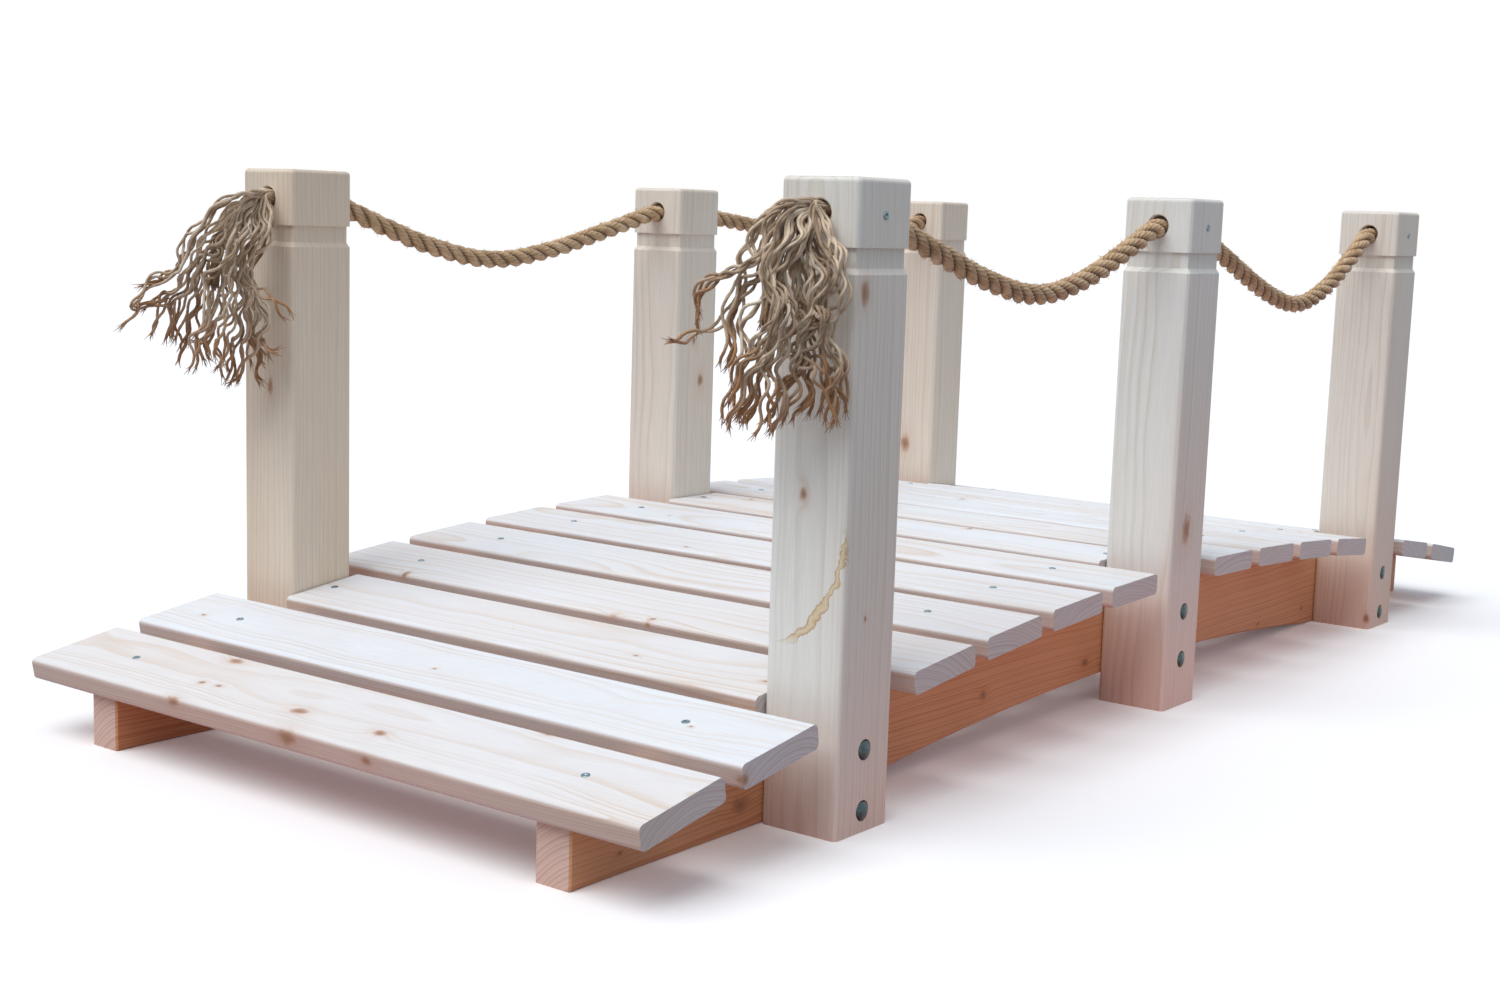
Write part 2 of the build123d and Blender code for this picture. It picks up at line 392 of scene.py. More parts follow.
loose = add(laying, "GeometryNodeRotateInstances", named={"Instances": loose, "Rotation": lie})
whole = add(laying, "GeometryNodeJoinGeometry", strands)
laying.links.new(loose, whole.node.inputs[0])
close_tree(laying, whole, given["Hemp"])

# %% [markdown]
# ## The open ends
# At the near posts the rope is unlaid: its yarns leave the bore, reach forward, and fall in locks that
# keep the crimp of the lay they were in. Each lock's path is given as its reach out from the post, its
# sway to the side and its drop. A second tree splits every lock into yarns, crimps them together with
# small differences, trims them unevenly and gives each a frayed tip.

# %% Yarn tree
YARN_RADIUS = 1.9 * MM
YARN_STEP = 2.8 * MM

unlaying, given = new_tree(
    "unlaid_yarns", **{"Yarns": 3, "Lock Radius": 6.5 * MM, "Yarn Radius": YARN_RADIUS,
                       "Crimp Height": 3.0 * MM, "Crimp Length": 40 * MM, "Shortest": 0.91, "Seed": 7,
                       "Hemp": "Material", "Tuft": "Object"}
)
locks = add(unlaying, "GeometryNodeMeshToCurve", given["Geometry"])
number = add(unlaying, "GeometryNodeInputIndex")
locks = add(
    unlaying, "GeometryNodeStoreNamedAttribute", domain="CURVE", data_type="INT",
    named={"Geometry": locks, "Name": "lock", "Value": number},
)
copies = add(
    unlaying, "GeometryNodeDuplicateElements", domain="SPLINE",
    named={"Geometry": locks, "Amount": given["Yarns"]},
)
cut = add(
    unlaying, "FunctionNodeRandomValue", given["Shortest"], 1.0, None, given["Seed"], data_type="FLOAT"
)
yarns = add(unlaying, "GeometryNodeTrimCurve", named={"Curve": copies, "End": cut}, mode="FACTOR")
yarns = add(
    unlaying, "GeometryNodeResampleCurve", named={"Curve": yarns, "Length": YARN_STEP}, mode="LENGTH"
)
share = add(unlaying, "GeometryNodeSplineParameter")
length = share.node.outputs["Length"]
for label, value in (("along", length), ("share", share)):
    yarns = add(
        unlaying, "GeometryNodeStoreNamedAttribute",
        named={"Geometry": yarns, "Name": label, "Value": value},
    )

# %% Yarn crimp
CRIMP_START, CRIMP_FULL = 0.08, 0.4
lock = add(unlaying, "GeometryNodeInputNamedAttribute", named={"Name": "lock"}, data_type="INT")
yarn = add(unlaying, "GeometryNodeCurveOfPoint")
lock_phase = add(unlaying, "FunctionNodeRandomValue", 0.0, TURN, lock, given["Seed"], data_type="FLOAT")
yarn_phase = add(unlaying, "FunctionNodeRandomValue", -2.6, 2.6, yarn, given["Seed"], data_type="FLOAT")
stretch = add(unlaying, "FunctionNodeRandomValue", 0.8, 1.3, yarn, 3, data_type="FLOAT")
spin = add(unlaying, "FunctionNodeRandomValue", 0.0, TURN, yarn, 11, data_type="FLOAT")
apart = add(unlaying, "FunctionNodeRandomValue", 0.6, 1.0, yarn, 5, data_type="FLOAT")
waves = add(unlaying, "ShaderNodeMath", length, given["Crimp Length"], operation="DIVIDE")
waves = add(unlaying, "ShaderNodeMath", waves, stretch, operation="DIVIDE")
phase = add(unlaying, "ShaderNodeMath", lock_phase, yarn_phase, operation="ADD")
angle = add(unlaying, "ShaderNodeMath", waves, TURN, phase, operation="MULTIPLY_ADD")
onset = add(unlaying, "ShaderNodeMapRange", share, CRIMP_START, CRIMP_FULL, 0.15, 1.0)
height = add(unlaying, "ShaderNodeMath", given["Crimp Height"], onset, operation="MULTIPLY")
widen = add(unlaying, "ShaderNodeMapRange", share, 0.0, 1.0, 0.35, 1.5)
spread = add(unlaying, "ShaderNodeMath", given["Lock Radius"], widen, operation="MULTIPLY")
spread = add(unlaying, "ShaderNodeMath", spread, apart, operation="MULTIPLY")
normal = add(unlaying, "GeometryNodeInputNormal")
tangent = add(unlaying, "GeometryNodeInputTangent")
sideways = add(unlaying, "ShaderNodeVectorMath", tangent, normal, operation="CROSS_PRODUCT")
offsets = []
for way, wave, crimp_share in ((normal, "COSINE", 1.0), (sideways, "SINE", 0.8)):
    swing = add(unlaying, "ShaderNodeMath", angle, operation=wave)
    swing = add(unlaying, "ShaderNodeMath", swing, crimp_share, operation="MULTIPLY")
    swing = add(unlaying, "ShaderNodeMath", swing, height, operation="MULTIPLY")
    stand = add(unlaying, "ShaderNodeMath", spin, operation=wave)
    swing = add(unlaying, "ShaderNodeMath", stand, spread, swing, operation="MULTIPLY_ADD")
    offsets.append(add(unlaying, "ShaderNodeVectorMath", way, swing, operation="SCALE"))
offset = add(unlaying, "ShaderNodeVectorMath", *offsets, operation="ADD")
yarns = add(unlaying, "GeometryNodeSetPosition", named={"Geometry": yarns, "Offset": offset})

# %% Yarn section and frayed tips
PLIES = 3
PLY_PITCH = 14 * MM
PLY_INNER = 0.88
tone = add(unlaying, "FunctionNodeRandomValue", -1.0, 1.0, yarn, 17, data_type="FLOAT")
yarns = add(
    unlaying, "GeometryNodeStoreNamedAttribute", named={"Geometry": yarns, "Name": "tone", "Value": tone}
)
twist = add(unlaying, "ShaderNodeMath", length, TURN / PLY_PITCH / PLIES, operation="MULTIPLY")
yarns = add(unlaying, "GeometryNodeSetCurveTilt", named={"Curve": yarns, "Tilt": twist})
inner = add(unlaying, "ShaderNodeMath", given["Yarn Radius"], PLY_INNER, operation="MULTIPLY")
section = add(
    unlaying, "GeometryNodeCurveStar",
    named={"Points": PLIES, "Inner Radius": inner, "Outer Radius": given["Yarn Radius"]},
)
around = add(unlaying, "GeometryNodeSplineParameter")
section = add(
    unlaying, "GeometryNodeStoreNamedAttribute",
    named={"Geometry": section, "Name": "around", "Value": around},
)
tubes = add(
    unlaying, "GeometryNodeCurveToMesh",
    named={"Curve": yarns, "Profile Curve": section, "Fill Caps": True},
)
ends = add(unlaying, "GeometryNodeCurveEndpointSelection", named={"Start Size": 0, "End Size": 1})
turned = add(unlaying, "FunctionNodeAlignRotationToVector", named={"Vector": tangent}, axis="Z")
tuft = add(unlaying, "GeometryNodeObjectInfo", given["Tuft"]).node.outputs["Geometry"]
tips = add(
    unlaying, "GeometryNodeInstanceOnPoints",
    named={"Points": yarns, "Selection": ends, "Instance": tuft, "Rotation": turned},
)
whole = add(unlaying, "GeometryNodeJoinGeometry", tubes)
unlaying.links.new(tips, whole.node.inputs[0])
close_tree(unlaying, whole, given["Hemp"])

# %% [markdown]
# A frayed tip is a few thin fibres that go on from the cut yarn and open like a brush. It is one
# tiny mesh, made once and set on every yarn's end by the tree. One fibre alone is the fuzz of the
# laid rope.

# %% Tuft
TUFT_FIBRES = 5
TUFT_LENGTH = 13 * MM
FIBRE_RADIUS = 0.75 * MM
FUZZ_LENGTH = 4.6 * MM
FUZZ_RADIUS = 0.3 * MM


def make_tuft(name, fibres, length, thickness):
    """Thin tapered spikes that lean outwards from the end of a yarn."""
    work = bmesh.new()
    for number in range(fibres):
        turn = TURN * number / fibres
        lean = Vector((math.cos(turn), math.sin(turn), 0))
        reach = length * (0.7 + 0.3 * math.cos(2.4 * number))
        angles = [turn + TURN * i / 3 for i in range(3)]
        corners = [Vector((math.cos(a), math.sin(a), 0)) for a in angles]
        rings = []
        for share, size in ((-0.1, 1.0), (0.45, 0.8), (1.0, 0.3)):
            opened = YARN_RADIUS * (0.4 + 1.5 * max(share, 0) ** 1.5)
            middle = Vector((0, 0, share * reach)) + lean * opened
            rings.append([work.verts.new(middle + c * thickness * size) for c in corners])
        for low, high in zip(rings, rings[1:]):
            for i in range(3):
                work.faces.new((low[i], low[(i + 1) % 3], high[(i + 1) % 3], high[i]))
        work.faces.new(rings[-1])
        work.faces.new(rings[0][::-1])
    mesh = bpy.data.meshes.new(name)
    work.to_mesh(mesh)
    work.free()
    for label, value in (("share", 1.0), ("along", 0.01), ("around", 0.5), ("tone", 0.0)):
        layer = mesh.attributes.new(label, "FLOAT", "POINT")
        layer.data.foreach_set("value", [value] * len(mesh.vertices))
    return bpy.data.objects.new(name, mesh)


tuft = make_tuft("tuft", TUFT_FIBRES, TUFT_LENGTH, FIBRE_RADIUS)
fuzz = make_tuft("fuzz", 1, FUZZ_LENGTH, FUZZ_RADIUS)
print("tuft has", len(tuft.data.polygons), "faces, a loose fibre", len(fuzz.data.polygons))

# %% [markdown]
# The locks of both tassels follow the picture, one by one. Each is a list of points in millimetres
# from the mouth of the bore: reach towards the near end of the bridge, sway to its left side, and
# height. Full locks hang close together. Strays are a yarn or two that stand away, curl back or cross
# over.

# %% Lock paths
LOCKS = {
    "right": (
        ((-18, 3, 10), (4, 3, 10), (16, 3, 13), (44, 4, 10), (60, 7, -6), (70, 14, -36), (72, 13, -53),
         (73, 36, -62), (73, 44, -75), (74, 49, -107), (74, 40, -137), (74, 49, -149)),
        ((-18, 4, 6), (4, 4, 6), (16, 5, 9), (41, 10, 8), (54, 9, -10), (62, 19, -40), (64, 13, -52),
         (65, 18, -68), (65, 39, -82), (66, 43, -95), (66, 45, -110), (66, 38, -143), (66, 48, -152)),
        ((-18, 2, 9), (4, 2, 9), (16, 2, 12), (46, 4, 3), (61, -2, -13), (74, 5, -46), (75, 5, -59),
         (76, -7, -74), (77, 22, -92), (78, 28, -106), (78, 27, -121), (78, 17, -134), (78, 27, -143),
         (78, 43, -197)),
        ((-18, 0, 3), (4, 0, 3), (16, 0, 6), (46, -1, -1), (66, -10, -20), (75, -8, -37), (79, -1, -50),
         (81, -4, -63), (82, -14, -77), (83, -16, -89), (84, 9, -119), (84, 10, -130), (84, -3, -136),
         (84, 12, -142), (84, 39, -211)),
        ((-18, 2, 8), (4, 2, 8), (16, 2, 11), (34, 3, 1), (49, -6, -13), (58, -9, -25), (65, 0, -38),
         (68, 4, -54), (69, 0, -67), (71, -13, -81), (71, -16, -93), (72, 20, -155), (72, 10, -165),
         (72, 29, -195), (72, 25, -216)),
        ((-18, -1, 0), (4, -1, 0), (16, -2, 3), (37, -4, -3), (56, -21, -18), (62, -23, -26),
         (75, -5, -50), (77, -5, -65), (79, -35, -96), (80, 0, -140), (80, -3, -153), (80, -10, -166),
         (80, 7, -216)),
        ((-18, 0, 10), (4, 0, 10), (16, -1, 13), (28, -2, -4), (41, -17, -14), (48, -19, -22),
         (62, -1, -51), (65, -13, -81), (66, -4, -113), (66, -11, -123), (66, -1, -139), (66, 1, -153),
         (66, -10, -186), (66, -2, -197), (66, 15, -208)),
        ((-18, 3, 4), (4, 3, 4), (16, 4, 7), (21, 7, -7), (32, 1, -24), (39, 1, -61), (40, -9, -74),
         (41, -4, -90), (41, -16, -100), (42, -11, -120), (42, -18, -135), (42, -9, -149), (42, 13, -162)),
        ((-18, -2, 10), (4, -2, 10), (16, -4, 13), (23, -10, -7), (40, -13, -32), (45, -37, -43),
         (47, -43, -57), (48, -40, -73), (49, -30, -89), (49, -51, -96), (50, -11, -114), (50, 1, -126),
         (50, -13, -135), (50, -33, -135), (50, -42, -142), (51, -50, -156), (32, -50, -179)),
        ((-18, -2, 6), (4, -2, 6), (16, -4, 9), (13, -9, -3), (23, -24, -16), (31, -46, -47),
         (32, -45, -61), (33, -28, -85), (34, -33, -98), (34, -31, -111), (34, -36, -125), (35, -47, -133),
         (24, -50, -143), (17, -49, -156), (24, -50, -172), (34, -46, -177)),
        ((-18, -3, 9), (4, -3, 9), (16, -5, 12), (9, -10, -2), (22, -40, -33), (24, -48, -47),
         (25, -49, -82), (25, -46, -91), (26, -25, -106), (26, -50, -142), (26, -44, -152),
         (26, -45, -201)),
        ((-18, -2, 3), (4, -2, 3), (16, -3, 6), (17, -8, -5), (26, -12, -20), (32, -31, -34),
         (34, -41, -46), (36, -43, -60), (37, -29, -94), (38, -39, -103), (38, -36, -116), (38, -45, -129),
         (30, -50, -141), (37, -50, -150), (38, -40, -164), (38, -47, -176), (37, -50, -200)),
        ((-18, 0, 8), (4, 0, 8), (16, 0, 11), (16, -2, -7), (23, -2, -21), (30, -34, -48), (30, -32, -62),
         (31, -23, -77), (31, -21, -90), (32, -28, -108), (32, -25, -122), (32, -35, -149),
         (32, -27, -156), (32, -33, -187), (32, -31, -199)),
        ((-18, -2, 0), (4, -2, 0), (16, -3, 3), (26, -7, -10), (36, -8, -28), (43, -30, -59),
         (44, -24, -73), (45, -33, -87), (46, -18, -120), (46, -20, -135), (46, -15, -146),
         (46, -22, -159), (46, -20, -173), (46, -14, -185), (46, 5, -202)),
        ((-18, 0, 10), (4, 0, 10), (16, 0, 13), (46, -1, 4), (64, -5, -6), (78, -5, -26), (84, 1, -40),
         (86, -3, -56), (89, -25, -89), (89, -23, -103), (90, -9, -119), (90, -4, -132), (90, 17, -143),
         (90, 28, -176), (90, 28, -188)),
        ((-18, 2, 4), (4, 2, 4), (16, 2, 7), (33, 3, -7), (48, -1, -26), (53, 2, -41), (56, 2, -54),
         (59, -15, -89), (60, 5, -121), (60, 5, -136), (60, 18, -152), (60, 18, -169), (60, 30, -197),
         (60, 36, -209), (60, 51, -209)),
    ),
    "left": (
        ((-18, -7, 8), (4, -7, 8), (16, -10, 11), (65, -23, -19), (80, -33, -40), (85, -18, -53),
         (88, -30, -68), (90, 7, -68), (92, 10, -106), (92, 46, -142), (91, 43, -158), (101, 47, -173)),
        ((-18, -6, 6), (4, -6, 6), (16, -8, 9), (62, -20, -24), (75, -24, -45), (83, 24, -80),
         (84, 13, -118), (84, 40, -158), (85, 48, -201)),
        ((-18, -7, 7), (4, -7, 7), (16, -12, 10), (74, -33, -29), (84, -46, -48), (91, -43, -69),
         (94, -22, -87), (94, -7, -92), (95, -3, -115), (96, -18, -131), (96, -5, -151), (96, 17, -166),
         (96, 6, -185), (96, 19, -205)),
        ((-18, -3, 3), (4, -3, 3), (16, -5, 6), (50, -11, -24), (62, -30, -44), (68, -20, -63),
         (71, -15, -81), (73, -19, -103), (73, 7, -118), (74, 4, -137), (74, 17, -157), (74, 34, -175),
         (74, 29, -192), (74, 31, -203)),
        ((-18, -7, 6), (4, -7, 6), (16, -11, 9), (53, -28, -24), (73, -51, -46), (81, -44, -64),
         (85, -40, -85), (86, -48, -106), (87, -35, -125), (88, -41, -144), (88, -24, -161),
         (88, -20, -181), (88, -29, -192), (88, -24, -205)),
        ((-18, -7, 0), (4, -7, 0), (16, -10, 3), (38, -21, -24), (53, -46, -44), (60, -28, -60),
         (63, -19, -78), (65, -32, -118), (66, -22, -136), (66, -28, -155), (66, -11, -170), (66, 1, -227)),
        ((-18, -7, 7), (4, -7, 7), (16, -11, 10), (30, -26, -20), (42, -50, -34), (50, -43, -56),
         (53, -22, -67), (54, -15, -84), (55, -30, -102), (56, -30, -121), (56, -16, -141),
         (56, -27, -160), (56, -9, -178), (56, -5, -222)),
        ((-18, -7, 4), (4, -7, 4), (16, -12, 7), (23, -30, -16), (35, -48, -34), (40, -48, -52),
         (45, -8, -78), (46, -32, -118), (46, -48, -130), (46, -54, -146), (46, -2, -203), (46, 19, -217)),
        ((-18, -7, 8), (4, -7, 8), (16, -11, 11), (13, -26, -13), (25, -32, -42), (28, -13, -63),
         (29, -8, -82), (29, 7, -97), (30, -29, -138), (30, -24, -156), (30, -6, -171), (30, -12, -191),
         (30, -6, -212), (33, -21, -217)),
        ((-18, 1, 6), (4, 1, 6), (16, 1, 9), (41, 2, -14), (58, -10, -37), (66, 15, -62), (68, 24, -80),
         (69, 16, -98), (70, 43, -143), (69, 41, -161), (77, 47, -174), (92, 48, -170)),
        ((-18, -3, 9), (4, -3, 9), (16, -4, 12), (41, -10, -12), (65, -24, -35), (73, -32, -56),
         (79, -16, -100), (79, -27, -116), (80, -19, -141), (80, 7, -161), (80, 10, -181), (80, 4, -195),
         (80, 25, -202)),
    ),
}
STRAYS = {
    "right": (
        ((-18, 0, 11), (4, 0, 11), (16, 0, 14), (39, -3, 12), (58, 13, 7), (63, 21, -5), (66, 27, -21),
         (68, 41, -32), (69, 43, -44), (69, 38, -51), (69, 39, -63), (70, 53, -101), (68, 90, -116),
         (90, 90, -121), (123, 90, -125)),
        ((-18, 1, 6), (4, 1, 6), (16, 0, 9), (46, -2, 13), (62, 11, 5), (72, 26, -19), (73, 25, -34),
         (74, 14, -43), (75, 24, -53), (76, 66, -61), (76, 82, -72), (76, 90, -83), (76, 81, -113)),
        ((-18, 1, 9), (4, 1, 9), (16, 0, 12), (49, -2, 11), (67, 6, -1), (74, 8, -17), (79, 7, -45),
         (81, 49, -61), (82, 78, -82), (82, 80, -87), (82, 78, -103)),
        ((-18, -1, 3), (4, -1, 3), (16, -2, 6), (29, -6, -26), (36, -8, -53), (39, -18, -79),
         (40, -12, -148), (40, -33, -168), (40, -14, -195)),
        ((-18, 0, 8), (4, 0, 8), (16, 0, 11), (26, -2, -27), (32, 0, -48), (34, -7, -74), (35, -5, -101),
         (36, -13, -124), (36, -7, -144), (36, 15, -186)),
        ((-18, 0, 0), (4, 0, 0), (16, 0, 3), (22, -3, -6), (37, 3, -31), (41, 3, -52), (42, -4, -71),
         (43, -17, -83), (44, -50, -98), (44, -27, -126), (44, -11, -132), (44, 4, -131), (44, 7, -123),
         (44, -8, -112), (44, -27, -105), (44, -39, -97), (44, -45, -87)),
    ),
    "left": (
        ((-18, -7, 8), (4, -7, 8), (16, -12, 11), (73, -34, 4), (91, -28, -2), (102, -15, -21),
         (106, -2, -35), (108, 25, -48), (109, 30, -64), (109, 18, -78), (109, 38, -85), (116, 49, -93),
         (133, 48, -92), (167, 47, -128), (161, 47, -133), (149, 47, -133), (132, 47, -132),
         (115, 47, -125)),
        ((-18, -7, 5), (4, -7, 5), (16, -13, 8), (81, -42, 3), (104, -38, -11), (114, -19, -32),
         (118, -5, -64), (119, 8, -77), (119, 7, -92), (119, 33, -99), (128, 48, -106), (154, 47, -129),
         (154, 47, -139), (173, 47, -161)),
        ((-18, -7, 7), (4, -7, 7), (16, -10, 10), (71, -24, 1), (87, -19, -16), (95, -1, -35),
         (97, 10, -54), (99, 38, -77), (98, 40, -91), (115, 47, -95), (121, 48, -105), (150, 47, -113)),
        ((-18, -7, 2), (4, -7, 2), (16, -12, 5), (73, -35, -2), (98, -41, -21), (106, -30, -32),
         (114, -2, -76), (114, 17, -95), (115, 22, -109), (114, 49, -114), (128, 48, -126),
         (156, 47, -135)),
        ((-18, -6, 6), (4, -6, 6), (16, -9, 9), (62, -21, -7), (82, -24, -28), (90, -1, -44),
         (92, 11, -58), (93, 15, -74), (93, 49, -111), (122, 47, -130), (133, 47, -168)),
        ((-18, -3, 0), (4, -3, 0), (16, -5, 3), (59, -13, -9), (76, -12, -31), (81, -8, -44),
         (85, 20, -62), (87, 37, -104), (91, 48, -115), (103, 48, -124), (109, 48, -136), (110, 48, -181)),
        ((-18, -7, 7), (4, -7, 7), (16, -11, 10), (73, -30, -14), (90, -38, -35), (96, -35, -51),
         (100, -15, -62), (102, -2, -77), (103, 2, -98), (104, 45, -130), (104, 48, -148), (104, 39, -167),
         (104, 40, -182)),
        ((-18, 2, 4), (4, 2, 4), (16, 2, 7), (44, 2, -19), (56, 11, -40), (60, 13, -59), (62, 26, -76),
         (63, 8, -88), (64, -90, -116), (64, -104, -125), (54, -104, -139)),
        ((-18, -7, 8), (4, -7, 8), (16, -11, 11), (29, -27, -35), (38, -10, -70), (39, -11, -98),
         (40, -30, -126), (40, -18, -157), (40, -35, -172), (40, -54, -181), (40, -76, -182)),
        ((-18, -4, 6), (4, -4, 6), (16, -6, 9), (27, -16, -35), (34, 3, -71), (35, 1, -104),
         (36, -17, -132), (36, -8, -161), (36, -49, -195)),
        ((-18, -2, 9), (4, -2, 9), (16, -3, 12), (24, -9, -38), (31, 15, -76), (32, 19, -110),
         (32, -4, -137), (32, -1, -168), (32, -18, -183), (32, -27, -203)),
    ),
}
for side in SIDES:
    print(side, "tassel has", len(LOCKS[side]), "locks and", len(STRAYS[side]), "strays")

# %% Lines and joins
LOCK_STEPS = 8
MOUTH_X = -POST_SPACING - POST_HALF


def line_mesh(name, points):
    """A mesh of edges through points in their order."""
    mesh = bpy.data.meshes.new(name)
    mesh.from_pydata(points, [(i, i + 1) for i in range(len(points) - 1)], [])
    return mesh


def tassel_lines(side, paths):
    """The smooth lines of some of a tassel's locks, in the frame of the bridge."""
    mouth = Vector((MOUTH_X, SIDES[side] * ROPE_Y, ROPE_Z))
    routes = [[mouth + Vector((-r, s, z)) * MM for r, s, z in path] for path in paths]
    return spline_mesh(f"locks_{side}", routes, LOCK_STEPS)


def join(piece, extra, material):
    """Adds the faces of one mesh object to another, in a material slot of their own."""
    work = bmesh.new()
    work.from_mesh(piece.data)
    first = len(work.faces)
    work.from_mesh(extra.data)
    work.faces.ensure_lookup_table()
    for face in work.faces[first:]:
        face.material_index = len(piece.data.materials)
    work.to_mesh(piece.data)
    work.free()
    piece.data.materials.append(material)
    bpy.data.objects.remove(extra)


# %% Ropes and tassels
LAY_ENDS_INSIDE = 6 * MM
CORE_OVERLAP = 4
cords = {}
tassels = {}
for number, side in enumerate(SIDES):
    points = rope_points[side]
    laid = [p for p in points if p.x > MOUTH_X + LAY_ENDS_INSIDE]
    opened = points[len(laid) - CORE_OVERLAP :]
    mesh = line_mesh(f"laid_{side}", laid)
    rope = grow(f"hemp_rope_{side}", laying, mesh, Hemp=laid_hemp, Fibre=fuzz)
    core = grow(
        f"core_{side}", unlaying, line_mesh(f"core_{side}", opened), Yarns=12, Seed=number + 21,
        Shortest=0.97, Hemp=core_hemp, Tuft=tuft,
        **{"Lock Radius": 4.6 * MM, "Crimp Height": 1.0 * MM},
    )
    join(rope, core, core_hemp)
    cords[side] = rope
    tassel = grow(
        f"hemp_tassel_{side}", unlaying, tassel_lines(side, LOCKS[side]), Seed=number + 3,
        Hemp=yarn_hemp, Tuft=tuft,
    )
    strays = grow(
        f"strays_{side}", unlaying, tassel_lines(side, STRAYS[side]), Yarns=2, Seed=number + 5,
        Shortest=0.93, Hemp=yarn_hemp, Tuft=tuft, **{"Lock Radius": 3 * MM},
    )
    join(tassel, strays, yarn_hemp)
    tassels[side] = tassel
bpy.data.objects.remove(tuft)
bpy.data.objects.remove(fuzz)

for side, rope in cords.items():
    for piece, node in ((rope, f"rope_{side}"), (tassels[side], f"tassel_{side}")):
        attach(piece, "root")
        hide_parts(node)

# %% [markdown]
# ## Spruce
# The timber is planed spruce, raw and freshly cut: almost white on the deck, with straight pale brown
# lines where the latewood of each year's ring meets the surface, small knots that the lines flow
# round, and end grain of a greyer or pinker tone. Lines painted on each face would not meet at the
# corners, so the rings are solid: the distance from a pith line that lies somewhere beside each piece.
# The same rings then show as straight lines, as arches or as arcs, depending on the face that cuts
# them. The first step numbers the pieces by their places and gives each one a trunk of its own.

# %% Sawn from a trunk
PITH_WANDER = 26 * MM
WANDERS_ACROSS = 5.0  # in a metre
WANDERS_ALONG = 2.3
PIECE_RUN = 0.37
FIRST_COUNT, NEXT_COUNT = 3.7, 5.1


def saw_from_trunk(tree, axes, grain, cells, pith):
    """Each piece's own chances, and its places along and across the trunk that it was sawn from."""
    across = [i for i in range(3) if i != grain]
    counts = []
    local = list(axes)
    for i, size in enumerate(cells):
        if size:
            steps = add(tree, "ShaderNodeMath", axes[i], 1 / size, 0.5, operation="MULTIPLY_ADD")
            steps = add(tree, "ShaderNodeMath", steps, operation="FLOOR")
            local[i] = add(tree, "ShaderNodeMath", steps, -size, axes[i], operation="MULTIPLY_ADD")
            count = FIRST_COUNT + NEXT_COUNT * i
            counts.append(add(tree, "ShaderNodeMath", steps, count, operation="MULTIPLY"))
    piece = counts[0] if len(counts) == 1 else add(tree, "ShaderNodeMath", *counts, operation="ADD")
    chance = add(tree, "ShaderNodeTexWhiteNoise", piece, out=1, noise_dimensions="1D")
    chances = add(tree, "ShaderNodeSeparateColor", chance).node.outputs

    # The pith wanders slowly along the fibres
    along = add(tree, "ShaderNodeMath", piece, PIECE_RUN, axes[grain], operation="MULTIPLY_ADD")
    slow = [add(tree, "ShaderNodeMath", local[i], WANDERS_ACROSS, operation="MULTIPLY") for i in across]
    slow.append(add(tree, "ShaderNodeMath", along, WANDERS_ALONG, operation="MULTIPLY"))
    slow = add(tree, "ShaderNodeCombineXYZ", *slow)
    wander = add(tree, "ShaderNodeTexNoise", slow, out=1, named={"Scale": 1.0, "Detail": 2.0})
    wander = add(tree, "ShaderNodeSeparateColor", wander).node.outputs
    from_pith = []
    for n, i in enumerate(across):
        low, high = pith[n]
        away = add(tree, "ShaderNodeMath", chances[n], high - low, low, operation="MULTIPLY_ADD")
        away = add(tree, "ShaderNodeMath", local[i], away, operation="SUBTRACT")
        away = add(tree, "ShaderNodeMath", wander[n], PITH_WANDER, away, operation="MULTIPLY_ADD")
        from_pith.append(away)
    radius = add(tree, "ShaderNodeCombineXYZ", *from_pith, 0.0)
    radius = add(tree, "ShaderNodeVectorMath", radius, operation="LENGTH")
    return {
        "chances": chances, "wander": wander, "slow": slow, "along": along, "radius": radius,
        "from_pith": from_pith, "across": [local[i] for i in across],
    }


# %% [markdown]
# A knot is where a branch left the pith. Some come by chance, on the trunk's unrolled skin, and those
# that the picture shows are listed. The result is the distance to the nearest one in its own radii.

# %% Knots
KNOT_CELL = 120 * MM
KNOT_SQUEEZE = 0.6
KNOT_FRAY = 6 * MM
KNOT_FRAY_DEPTH = 0.95
BRANCH_SIZES = (0.0005, 0.04)


